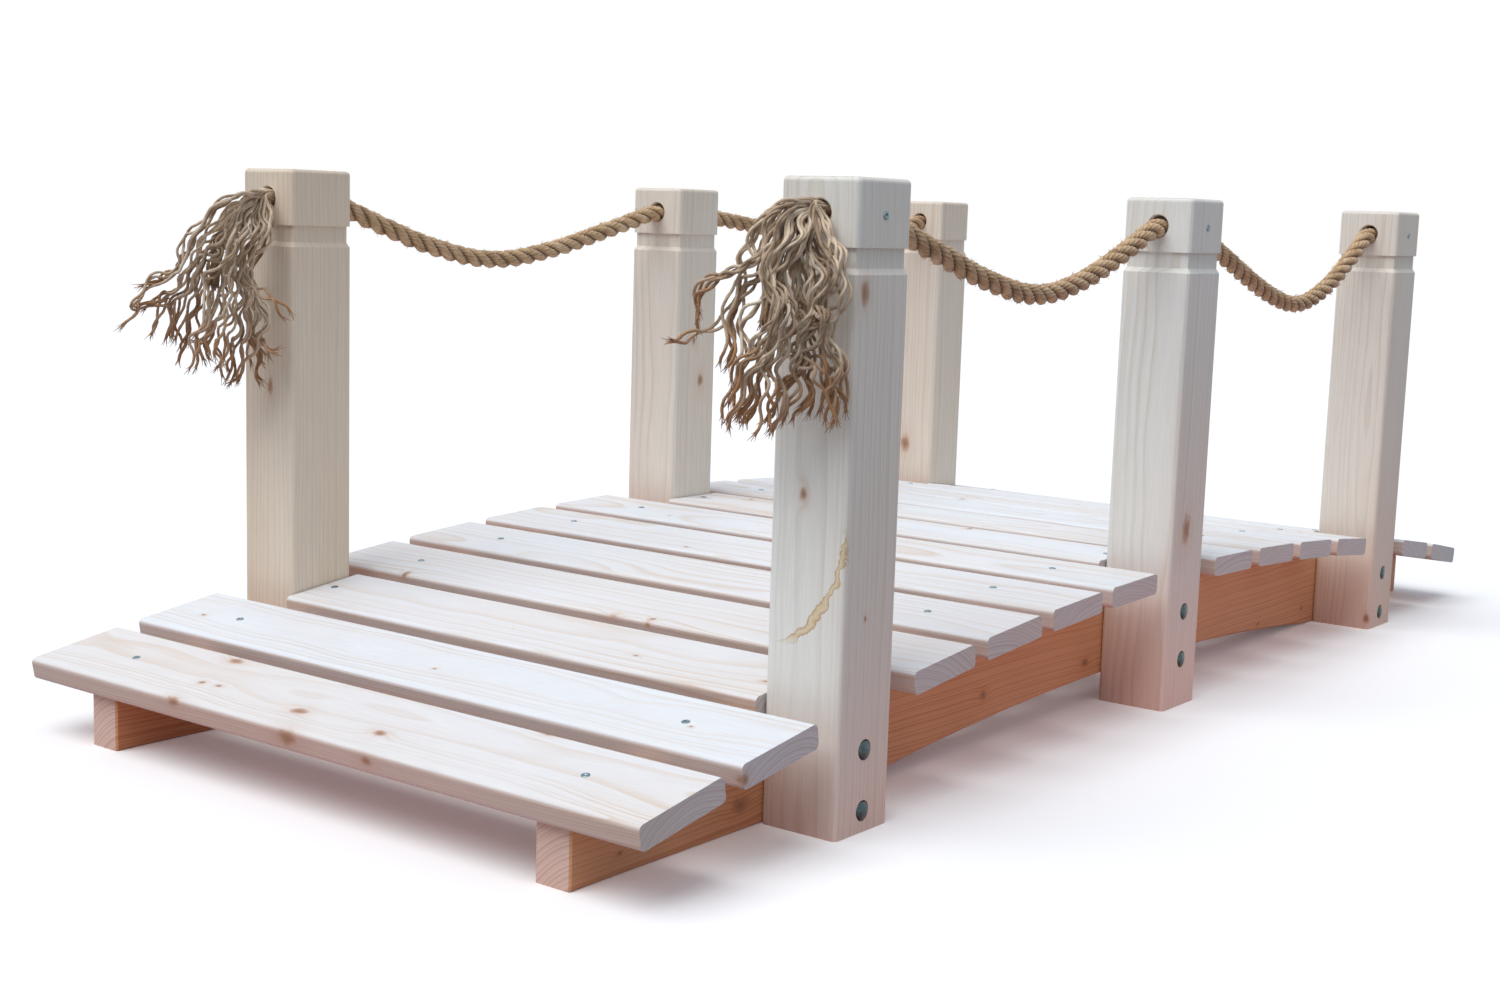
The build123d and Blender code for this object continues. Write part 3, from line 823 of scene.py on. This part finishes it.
def nearest_knot(tree, coords, trunk, grain, knots, rare):
    """How far the nearest knot is in its own radii, with a ragged rim."""
    turn = add(tree, "ShaderNodeMath", *trunk["from_pith"][::-1], operation="ARCTAN2")
    turn = add(tree, "ShaderNodeMath", turn, trunk["radius"], operation="MULTIPLY")
    unrolled = add(tree, "ShaderNodeCombineXYZ", turn, trunk["along"], 0.0)
    branch = add(
        tree, "ShaderNodeTexVoronoi", unrolled, 1 / KNOT_CELL, named={"Randomness": 1.0},
        voronoi_dimensions="2D",
    )
    size = add(tree, "ShaderNodeSeparateColor", branch.node.outputs["Color"])
    size = add(tree, "ShaderNodeMapRange", size, rare, rare + 0.1, *BRANCH_SIZES)
    near = add(tree, "ShaderNodeMath", branch, size, operation="DIVIDE")
    squeeze = Vector([KNOT_SQUEEZE if i == grain else 1.0 for i in range(3)])
    squeezed = add(tree, "ShaderNodeVectorMath", coords, squeeze, operation="MULTIPLY")
    for centre, radius in knots:
        middle = Vector(centre) * squeeze * MM
        apart = add(tree, "ShaderNodeVectorMath", squeezed, middle, operation="DISTANCE")
        apart = add(tree, "ShaderNodeMath", apart, 1 / (radius * MM), operation="MULTIPLY")
        near = add(tree, "ShaderNodeMath", near, apart, operation="MINIMUM")
    fray = add(tree, "ShaderNodeTexNoise", squeezed, named={"Scale": 1 / KNOT_FRAY, "Detail": 3.0})
    return add(tree, "ShaderNodeMath", fray, KNOT_FRAY_DEPTH, near, operation="MULTIPLY_ADD")


# %% [markdown]
# Each year starts pale, darkens slowly to the latewood and ends sharply. Years differ in width, and
# close to a knot they bend round it.

# %% Year rings
YEAR_TONES = ((0.0, 0.0), (0.5, 0.2), (0.86, 1.0), (0.97, 0.0))
YEARS_ROUND_KNOT = 1.1
YEARS_UNEVEN = 2.2


def year_rings(tree, trunk, flow, ring):
    """The dark bands of the years, from 0 in pale spring wood to 1 in latewood."""
    years = add(tree, "ShaderNodeMath", trunk["radius"], 1 / ring, operation="MULTIPLY")
    years = add(tree, "ShaderNodeMath", flow, YEARS_ROUND_KNOT, years, operation="MULTIPLY_ADD")
    uneven = add(
        tree, "ShaderNodeTexNoise", named={"W": years, "Scale": 0.45, "Detail": 2.0},
        noise_dimensions="1D",
    )
    years = add(tree, "ShaderNodeMath", uneven, YEARS_UNEVEN, years, operation="MULTIPLY_ADD")
    year = add(tree, "ShaderNodeMath", years, operation="FRACT")
    stops = [(place, (tone, tone, tone, 1)) for place, tone in YEAR_TONES]
    return add(tree, "ShaderNodeValToRGB", year, stops=stops)


# %% [markdown]
# Resin has run down the front of one post and dried in a bow, pale in the middle and amber at its rim.
# It is drawn over the timber's colour as a band at one distance from a point beside the post.

# %% Resin
RESIN_CLOUD = 16 * MM
RESIN_SMEAR = 22 * MM
RESIN_WIDTHS = (6.5 * MM, 3.0 * MM)
RESIN_FACE = (-780 * MM, -785 * MM)
RESIN_FADE = 12
RESIN_TONES = (
    (0.0, "#e6d3a3", 0.75), (1.0, "#d8b582", 0.0), (0.5, "#ddb97d", 0.85), (0.78, "#c08d4a", 0.95),
)


def resin_streak(tree, coords, axes, colour, resin):
    """A colour with a bow of dried resin on it, between two heights on a near face."""
    centre, bend, low, high = resin
    apart = add(tree, "ShaderNodeVectorMath", coords, [c * MM for c in centre], operation="DISTANCE")
    smear = add(tree, "ShaderNodeTexNoise", coords, named={"Scale": 1 / RESIN_CLOUD, "Detail": 3.0})
    apart = add(tree, "ShaderNodeMath", smear, RESIN_SMEAR, apart, operation="MULTIPLY_ADD")
    apart = add(tree, "ShaderNodeMath", apart, bend * MM + RESIN_SMEAR / 2, operation="SUBTRACT")
    apart = add(tree, "ShaderNodeMath", apart, operation="ABSOLUTE")
    wide = add(tree, "ShaderNodeMapRange", axes[2], low * MM, high * MM, *RESIN_WIDTHS)
    apart = add(tree, "ShaderNodeMath", apart, wide, operation="DIVIDE")
    kept = add(tree, "ShaderNodeMapRange", axes[0], *RESIN_FACE, 0.0, 0.85)
    for end, inside in ((low, low + RESIN_FADE), (high, high - RESIN_FADE)):
        faded = add(tree, "ShaderNodeMapRange", axes[2], end * MM, inside * MM, 0.0, 1.0)
        kept = add(tree, "ShaderNodeMath", kept, faded, operation="MULTIPLY")
    stops = [(place, (*linear(code)[:3], cover)) for place, code, cover in RESIN_TONES]
    drawn = add(tree, "ShaderNodeValToRGB", apart, stops=stops)
    kept = add(tree, "ShaderNodeMath", drawn.node.outputs["Alpha"], kept, operation="MULTIPLY")
    return add(tree, "ShaderNodeMix", kept, colour, drawn, data_type="RGBA")


# %% [markdown]
# The material puts these together. Planed spruce is satin to the eye, with fine bright and dull streaks
# along the fibres, and the hard latewood stands a little proud. Planks differ in warmth.

# %% Spruce material
# Fibres are drawn about as fine as the picture can show them.
FIBRE_WIDTH = 0.8 * MM
FIBRE_RUN = 45 * MM
WARM_HALF = 70 * MM
BLUSH = "#fbe4ce"
KNOT_HALO, KNOT_RIM, KNOT_HEART = "#dba983", "#b08566", "#80533b"
SAWN_BOLD = 0.55


def spruce(
    name, grain, cells, pith, ring, early, late, end,
    knots=(), contrast=0.6, rare=0.8, resin=None, warm=(), edge=None,
):
    """Planed spruce. grain is the axis of the fibres, cells tell the pieces apart by their places."""
    material = bpy.data.materials.new(name)
    material.use_nodes = True
    tree = material.node_tree
    shader = tree.nodes["Principled BSDF"]
    coords = add(tree, "ShaderNodeTexCoord", out=3)
    axes = add(tree, "ShaderNodeSeparateXYZ", coords).node.outputs
    trunk = saw_from_trunk(tree, axes, grain, cells, pith)
    near = nearest_knot(tree, coords, trunk, grain, knots, rare)
    flow = add(tree, "ShaderNodeMath", near, near, operation="MULTIPLY")
    flow = add(tree, "ShaderNodeMath", flow, -0.22, operation="MULTIPLY")
    flow = add(tree, "ShaderNodeMath", flow, operation="EXPONENT")
    bands = year_rings(tree, trunk, flow, ring)

    # The rings are bolder here and there, and plain to see on sawn ends
    steep = add(tree, "ShaderNodeTexCoord", out=1)
    steep = add(tree, "ShaderNodeVectorMath", steep, operation="ABSOLUTE")
    steep = add(tree, "ShaderNodeSeparateXYZ", steep).node.outputs
    sawn = add(tree, "ShaderNodeMapRange", steep[grain], 0.75, 0.92, 0.0, 1.0)
    bold = add(tree, "ShaderNodeTexNoise", trunk["slow"], named={"Scale": 1.3, "Detail": 1.0})
    bold = add(tree, "ShaderNodeMapRange", bold, 0.3, 0.7, 0.35 * contrast, contrast)
    bold = add(tree, "ShaderNodeMix", sawn, bold, SAWN_BOLD)
    latewood = add(tree, "ShaderNodeMath", bands, bold, operation="MULTIPLY")
    thin = [add(tree, "ShaderNodeMath", p, 1 / FIBRE_WIDTH, operation="MULTIPLY") for p in trunk["across"]]
    thin.append(add(tree, "ShaderNodeMath", trunk["along"], 1 / FIBRE_RUN, operation="MULTIPLY"))
    thin = add(tree, "ShaderNodeCombineXYZ", *thin)
    fibre = add(tree, "ShaderNodeTexNoise", thin, named={"Scale": 1.0, "Detail": 2.0})

    # Colours from the inside out: years, warmth of the plank, painted shade on board edges, knots, resin,
    # fibres
    spring = add(tree, "ShaderNodeMix", sawn, linear(early), linear(end[0]), data_type="RGBA")
    summer = add(tree, "ShaderNodeMix", sawn, linear(late), linear(end[1]), data_type="RGBA")
    colour = add(tree, "ShaderNodeMix", latewood, spring, summer, data_type="RGBA")
    blush = add(tree, "ShaderNodeMapRange", trunk["wander"][2], 0.4, 0.7, 0.0, 0.22)
    blush = add(tree, "ShaderNodeMath", trunk["chances"][2], 0.14, blush, operation="MULTIPLY_ADD")
    for *place, more in warm:
        for axis, middle in zip(axes, place):
            inside = add(tree, "ShaderNodeMath", axis, middle * MM, WARM_HALF, operation="COMPARE")
            more = add(tree, "ShaderNodeMath", inside, more, operation="MULTIPLY")
        blush = add(tree, "ShaderNodeMath", more, blush, operation="ADD")
    tints = [(blush, BLUSH)]
    # Painted shade: the long edges of the boards, facing along the bridge, are darker and warmer, as the
    # gaps between the boards shade them.
    if edge:
        upright = steep[0 if grain else 1]
        tints.append((add(tree, "ShaderNodeMapRange", upright, 0.84, 0.99, 0.0, 1.0), edge))
    tints.append((add(tree, "ShaderNodeMath", flow, 0.35, operation="MULTIPLY"), KNOT_HALO))
    for share, tint in tints:
        colour = add(
            tree, "ShaderNodeMix", share, colour, linear(tint), data_type="RGBA", blend_type="MULTIPLY"
        )
    heart = add(tree, "ShaderNodeMapRange", near, 0.95, 0.2, 0.0, 1.0)
    brown = add(tree, "ShaderNodeMix", heart, linear(KNOT_RIM), linear(KNOT_HEART), data_type="RGBA")
    knot = add(tree, "ShaderNodeMapRange", near, 1.75, 0.85, 0.0, 0.85, interpolation_type="SMOOTHSTEP")
    colour = add(tree, "ShaderNodeMix", knot, colour, brown, data_type="RGBA")
    if resin:
        colour = resin_streak(tree, coords, axes, colour, resin)
    streak = add(tree, "ShaderNodeMapRange", fibre, 0.35, 0.65, 0.94, 1.03)
    colour = add(tree, "ShaderNodeVectorMath", colour, streak, operation="SCALE")
    tree.links.new(colour, shader.inputs["Base Color"])

    # Planing leaves the hard latewood a little proud
    relief = add(tree, "ShaderNodeMath", bands, 0.6, fibre, operation="MULTIPLY_ADD")
    bump = add(tree, "ShaderNodeBump", named={"Strength": 0.25, "Distance": 0.25 * MM, "Height": relief})
    tree.links.new(bump, shader.inputs["Normal"])
    rough = add(tree, "ShaderNodeMapRange", fibre, 0.3, 0.7, 0.5, 0.68)
    tree.links.new(rough, shader.inputs["Roughness"])
    shader.inputs["Specular IOR Level"].default_value = 0.35
    print(name, "has", len(tree.nodes), "nodes")
    return material


# %% [markdown]
# Boards, posts and beams are the same timber from different planks. The deck lies open to the sky and
# has paled most. The long edges of its boards carry painted shade, darker and warmer, as the gaps
# between the boards shade them. The posts show tight straight lines, and the beams are wider planks
# with a warmer tone, partly their own and partly painted shade with warm bounce from under the deck.
# The knots listed here were placed where the picture shows them, each as its middle and its radius in
# millimetres, and so were the planks that look warmer.

# %% Timber of the three kinds
BOARD_PITCH = 147.5 * MM
BEAM_Y = 347.5 * MM
BOARD_KNOTS = (
    ((-985, 227, 106), 7), ((-1053, -88, 94), 6), ((-973, -246, 108), 6), ((-1052, 37, 95), 7),
    ((-1090, 11, 78), 9), ((-1090, -109, 77), 5), ((-1091, 199, 84), 6), ((-655, -44, 153), 6),
    ((-1045, 180, 96), 3), ((-940, -464, 98), 6),
)
POST_KNOTS = (
    ((-9, -464, 236), 12), ((693, -460, 17), 5), ((-787, 413, 394), 6), ((-771, -464, 550), 8),
    ((-787, -410, 348), 5), ((-748, -464, 224), 2.2), ((11, 370, 369), 6), ((-7, 370, 432), 4),
    ((693, 428, 217), 10),
)
BEAM_KNOTS = (((-822, -370, 28), 9), ((-347, -370, 59), 6), ((-88, -370, 57), 6))
deck_spruce = spruce(
    "planed_spruce_deck", grain=1, cells=(BOARD_PITCH, None, None), pith=((-0.09, 0.09), (-0.06, 0.02)),
    # The deck's end grain is grey of its own and tinted bluish as painted cool shade on the board ends.
    ring=4.4 * MM, early="#eff4fa", late="#dac5ac", end=("#dbdfe3", "#b0a9ab"), knots=BOARD_KNOTS,
    # The tint of the boards' long edges is painted shade.
    contrast=0.62, warm=((-1028, 0.14), (-736, 0.14), (-589, 0.07), (-295, 0.07)), edge="#e9d8ce",
)
post_spruce = spruce(
    "planed_spruce_post", grain=2, cells=(POST_SPACING, ROPE_Y, None),
    pith=((-0.12, -0.05), (-0.10, 0.10)), ring=6.5 * MM, early="#f4f6f1", late="#d2c7b3",
    end=("#dcd9d6", "#b3a79d"), knots=POST_KNOTS, contrast=0.44, rare=1.0,
    resin=((-787, -312, 322), 152, 192, 320),
    warm=((-740, 417, 0.62), (0, 417, 0.3), (740, 417, 0.5), (740, -417, 0.34)),
)
# The beams' warmer, more orange tone is partly their own and partly painted shade with warm bounce, for
# their place under the deck.
beam_spruce = spruce(
    "planed_spruce_beam", grain=0, cells=(None, BEAM_Y, None), pith=((-0.06, 0.06), (-0.08, -0.02)),
    ring=5.0 * MM, early="#ecbf94", late="#c17e4e", end=("#ebd8cc", "#c09a86"), knots=BEAM_KNOTS,
    contrast=0.7, rare=0.88,
)
TIMBER = {"board": deck_spruce, "post": post_spruce, "beam": beam_spruce}
for name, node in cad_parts.items():
    kind = name.split("_")[0]
    if kind in TIMBER:
        node.data.materials.clear()
        node.data.materials.append(TIMBER[kind])
print("timber on", sum(n.split("_")[0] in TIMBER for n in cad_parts), "nodes")

# %% [markdown]
# ## Screws and bolts
# Each board is held by one countersunk screw over each beam, each rope by a screw through the cheek of
# every post head, and each post by two round-headed bolts whose rims are sunk in its outer face. The
# heads are small meshes, made once. A tree sets them on a list of points, turned to face outwards and
# each at its own angle, as a screw is left by the driver.

# %% Zinc
ZINC_CLOUD = 3 * MM
# Brown of the warm ground, painted on the heads' downward faces as a reflection.
GROUND_REFLECTION = "#3d2c22"


def zinc_plate(name, deep, pale):
    """Zinc plate: smooth bluish metal, cloudy, with a painted brown reflection of the ground below."""
    material = bpy.data.materials.new(name)
    material.use_nodes = True
    tree = material.node_tree
    shader = tree.nodes["Principled BSDF"]
    place = add(tree, "ShaderNodeTexCoord", out=3)
    cloud = add(tree, "ShaderNodeTexNoise", place, named={"Scale": 1 / ZINC_CLOUD, "Detail": 2.0})
    tint = add(tree, "ShaderNodeMix", cloud, linear(deep), linear(pale), data_type="RGBA")
    # Painted reflection: faces that turn downwards are browned, as they would mirror the warm ground.
    facing = add(tree, "ShaderNodeTexCoord", out=1)
    rising = add(tree, "ShaderNodeSeparateXYZ", facing).node.outputs["Z"]
    under = add(tree, "ShaderNodeMapRange", rising, 0.1, -0.35, 0.0, 0.85)
    tint = add(tree, "ShaderNodeMix", under, tint, linear(GROUND_REFLECTION), data_type="RGBA")
    tree.links.new(tint, shader.inputs["Base Color"])
    gloss = add(tree, "ShaderNodeMapRange", cloud, 0.3, 0.7, 0.22, 0.38)
    tree.links.new(gloss, shader.inputs["Roughness"])
    shader.inputs["Metallic"].default_value = 1.0
    return material


screw_zinc = zinc_plate("bright_zinc_screws", "#50707f", "#90a5ad")
# The bolts' zinc is darker than the screws': painted shade and painted reflection, for domes that sit in
# recesses and mirror darker surroundings.
bolt_zinc = zinc_plate("shade_darkened_zinc_bolts", "#26383f", "#5c6b6c")
print("zinc:", screw_zinc.name, bolt_zinc.name)

# %% Heads
SCREW_SIDES = 24
BOLT_SIDES = 28
SCREW_SUNK = 0.3 * MM
BOLT_SUNK = 0.2 * MM
DOME_SHARES = (0.93, 0.8, 0.6, 0.36, 0.14)


def ring_of(work, radius, height, count):
    """A level ring of points."""
    angles = [TURN * i / count for i in range(count)]
    return [work.verts.new((radius * math.cos(a), radius * math.sin(a), height)) for a in angles]


def skin(work, low, high):
    """A band of faces between two rings."""
    for i in range(len(low)):
        j = (i + 1) % len(low)
        work.faces.new((low[i], low[j], high[j], high[i]))


def keep_mesh(work, name):
    """Ends a bmesh as an object that is not yet in the scene."""
    bmesh.ops.recalc_face_normals(work, faces=work.faces)
    mesh = bpy.data.meshes.new(name)
    work.to_mesh(mesh)
    work.free()
    return bpy.data.objects.new(name, mesh)


def screw_head(name, radius, rise):
    """A countersunk head with a cross recess, its rim just above the wood."""
    work = bmesh.new()
    rim = ring_of(work, radius, -SCREW_SUNK, SCREW_SIDES)
    edge = ring_of(work, radius, 0.4 * rise, SCREW_SIDES)
    flat = ring_of(work, 0.92 * radius, rise, SCREW_SIDES)
    skin(work, rim, edge)
    skin(work, edge, flat)
    arm, slot = 0.56 * radius, 0.13 * radius
    turns = [Matrix.Rotation(math.radians(90 * q), 3, "Z") for q in range(4)]
    quarter = ((arm, -slot, rise), (arm, slot, rise), (slot, slot, rise))
    corners = [t @ Vector(c) for t in turns for c in quarter]
    mouth = [work.verts.new(c) for c in corners]
    floor = [work.verts.new((0.8 * c.x, 0.8 * c.y, 0.12 * rise)) for c in corners]
    skin(work, mouth, floor)
    work.faces.new(floor)
    loops = [
        work.edges.get((r[i], r[(i + 1) % len(r)])) for r in (flat, mouth) for i in range(len(r))
    ]
    bmesh.ops.triangle_fill(work, use_beauty=True, edges=loops)
    return keep_mesh(work, name)


def bolt_head(name, radius, height, rim):
    """A round bolt head: a straight rim, as a share of its height, under a shallow dome."""
    work = bmesh.new()
    rings = [ring_of(work, radius, level, BOLT_SIDES) for level in (-BOLT_SUNK, rim * height)]
    for share in DOME_SHARES:
        level = height * (rim + (1 - rim) * math.sqrt(1 - share**2))
        rings.append(ring_of(work, share * radius, level, BOLT_SIDES))
    for low, high in zip(rings, rings[1:]):
        skin(work, low, high)
    work.faces.new(rings[-1])
    return keep_mesh(work, name)


# %% Fastener tree
driving, given = new_tree("driven_heads", **{"Head": "Object", "Seed": 1, "Metal": "Material"})
head = add(driving, "GeometryNodeObjectInfo", given["Head"]).node.outputs["Geometry"]
outward = add(
    driving, "GeometryNodeInputNamedAttribute", named={"Name": "outward"}, data_type="FLOAT_VECTOR"
)
turned = add(driving, "FunctionNodeAlignRotationToVector", named={"Vector": outward}, axis="Z")
heads = add(driving, "GeometryNodeMeshToPoints", given["Geometry"])
heads = add(
    driving, "GeometryNodeInstanceOnPoints",
    named={"Points": heads, "Instance": head, "Rotation": turned},
)
driven = add(driving, "FunctionNodeRandomValue", 0.0, TURN, None, given["Seed"], data_type="FLOAT")
driven = add(driving, "ShaderNodeCombineXYZ", 0.0, 0.0, driven)
heads = add(driving, "GeometryNodeRotateInstances", named={"Instances": heads, "Rotation": driven})
close_tree(driving, heads, given["Metal"])


def drive(name, head, metal, places, seed):
    """Sets a head at every (point, outward) and keeps the result as one riding piece."""
    mesh = bpy.data.meshes.new(name)
    mesh.from_pydata([p for p, _ in places], [], [])
    layer = mesh.attributes.new("outward", "FLOAT_VECTOR", "POINT")
    layer.data.foreach_set("vector", [c for _, way in places for c in way])
    piece = grow(name, driving, mesh, Head=head, Seed=seed, Metal=metal)
    bpy.data.objects.remove(head)
    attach(piece, "root")
    return piece


# %% Drive them
BOARDS_EACH_WAY = 7
ARCH_RADIUS = 5900 * MM
BOARD_RISE = 26.05 * MM
BOARD_TOP = ARCH_RADIUS + BOARD_RISE
CROWN = 162.5 * MM
OUTER_FACE = 464 * MM
BORE_Z = 625 * MM
RECESS = 7 * MM
BOLT_LEVELS = {-1: (23, 87), 0: (63, 127), 1: (23, 87)}
deck_places = []
for number in range(-BOARDS_EACH_WAY, BOARDS_EACH_WAY + 1):
    lean = number * BOARD_PITCH / ARCH_RADIUS
    way = (math.sin(lean), 0, math.cos(lean))
    for y in (-BEAM_Y, BEAM_Y):
        deck_places.append(((BOARD_TOP * way[0], y, CROWN - ARCH_RADIUS + BOARD_TOP * way[2]), way))
cheek_places = []
bolt_places = []
for side in SIDES.values():
    for post, levels in BOLT_LEVELS.items():
        x = post * POST_SPACING
        cheek_places.append(((x, side * OUTER_FACE, BORE_Z), (0, side, 0)))
        for level in levels:
            bolt_places.append(((x, side * (OUTER_FACE - RECESS), level * MM), (0, side, 0)))
deck_screw = screw_head("deck_screw", radius=4.6 * MM, rise=0.8 * MM)
cheek_screw = screw_head("cheek_screw", radius=4.4 * MM, rise=0.9 * MM)
post_bolt = bolt_head("post_bolt", radius=9.8 * MM, height=9.4 * MM, rim=0.66)
drive("deck_screws", deck_screw, screw_zinc, deck_places, seed=4)
drive("cheek_screws", cheek_screw, screw_zinc, cheek_places, seed=9)
drive("post_bolts", post_bolt, bolt_zinc, bolt_places, seed=2)

# %% [markdown]
# ## Floor and light
# The bridge stands on a pale floor under a wide soft sky. The floor is white to the eye. For the light
# that it throws back on the timber it is a warm paving colour close to the bridge, which is what gives
# the beams and the feet of the posts their glow.

# %% Floor
FLOOR_HALF = 30.0
FLOOR_LIFT = 0.08
WARM_SCALE = (0.75, 1.1, 1.0)
WARM_EDGE = (0.6, 1.15)
floor_mesh = bpy.data.meshes.new("floor")
corners = [(x * FLOOR_HALF, y * FLOOR_HALF, 0) for x, y in ((-1, -1), (1, -1), (1, 1), (-1, 1))]
floor_mesh.from_pydata(corners, [], [(0, 1, 2, 3)])
floor = bpy.data.objects.new("floor", floor_mesh)
bpy.context.collection.objects.link(floor)
paving = bpy.data.materials.new("pale_floor")
paving.use_nodes = True
tree = paving.node_tree


def seen_directly(tree):
    """1 for what the camera sees, itself or in metal, and 0 for light that bounces on."""
    path = add(tree, "ShaderNodeLightPath").node.outputs
    seen = add(tree, "ShaderNodeMath", path["Is Camera Ray"], path["Is Glossy Ray"], operation="MAXIMUM")
    return add(tree, "ShaderNodeMath", seen, path["Is Transmission Ray"], operation="MAXIMUM")


spot = add(tree, "ShaderNodeTexCoord", out=3)
spot = add(tree, "ShaderNodeMapping", spot, named={"Scale": WARM_SCALE})
far = add(tree, "ShaderNodeVectorMath", spot, operation="LENGTH")
far = add(tree, "ShaderNodeMapRange", far, *WARM_EDGE, 0.0, 1.0)
glow = add(tree, "ShaderNodeMix", far, linear("#de6c3c"), linear("#7d8084"), data_type="RGBA")
seen = seen_directly(tree)
shown = add(tree, "ShaderNodeMix", seen, glow, linear("#ffffff"), data_type="RGBA")
lift = add(tree, "ShaderNodeMath", seen, FLOOR_LIFT, operation="MULTIPLY")
slab = tree.nodes["Principled BSDF"].inputs
tree.links.new(shown, slab["Base Color"])
tree.links.new(lift, slab["Emission Strength"])
slab["Emission Color"].default_value = linear("#ffffff")
slab["Roughness"].default_value = 1.0
slab["Specular IOR Level"].default_value = 0.0
floor_mesh.materials.append(paving)
print("floor", round(2 * FLOOR_HALF), "m wide")

# %% Light
SKY_LEVEL = 0.45
SUN_STRENGTH = 2.12
SUN_SPREAD = math.radians(55)
SUN_FROM = Vector((-0.46, 0.10, 0.88))
sky = bpy.data.worlds.new("soft_sky")
bpy.context.scene.world = sky
sky.use_nodes = True
tree = sky.node_tree
seen = seen_directly(tree)
dome = tree.nodes["Background"]
tint = add(tree, "ShaderNodeMix", seen, linear("#e6efff"), linear("#ffffff"), data_type="RGBA")
tree.links.new(tint, dome.inputs["Color"])
power = add(tree, "ShaderNodeMapRange", seen, 0.0, 1.0, SKY_LEVEL, 1.0)
tree.links.new(power, dome.inputs["Strength"])
lamp = bpy.data.lights.new("wide_sun", "SUN")
lamp.energy = SUN_STRENGTH
lamp.angle = SUN_SPREAD
sun = bpy.data.objects.new("wide_sun", lamp)
sun.rotation_euler = SUN_FROM.to_track_quat("Z", "Y").to_euler()
bpy.context.collection.objects.link(sun)
bpy.context.scene.view_settings.view_transform = "Standard"
print("sun", SUN_STRENGTH, "over a disc of", round(math.degrees(SUN_SPREAD)), "degrees, sky", SKY_LEVEL)
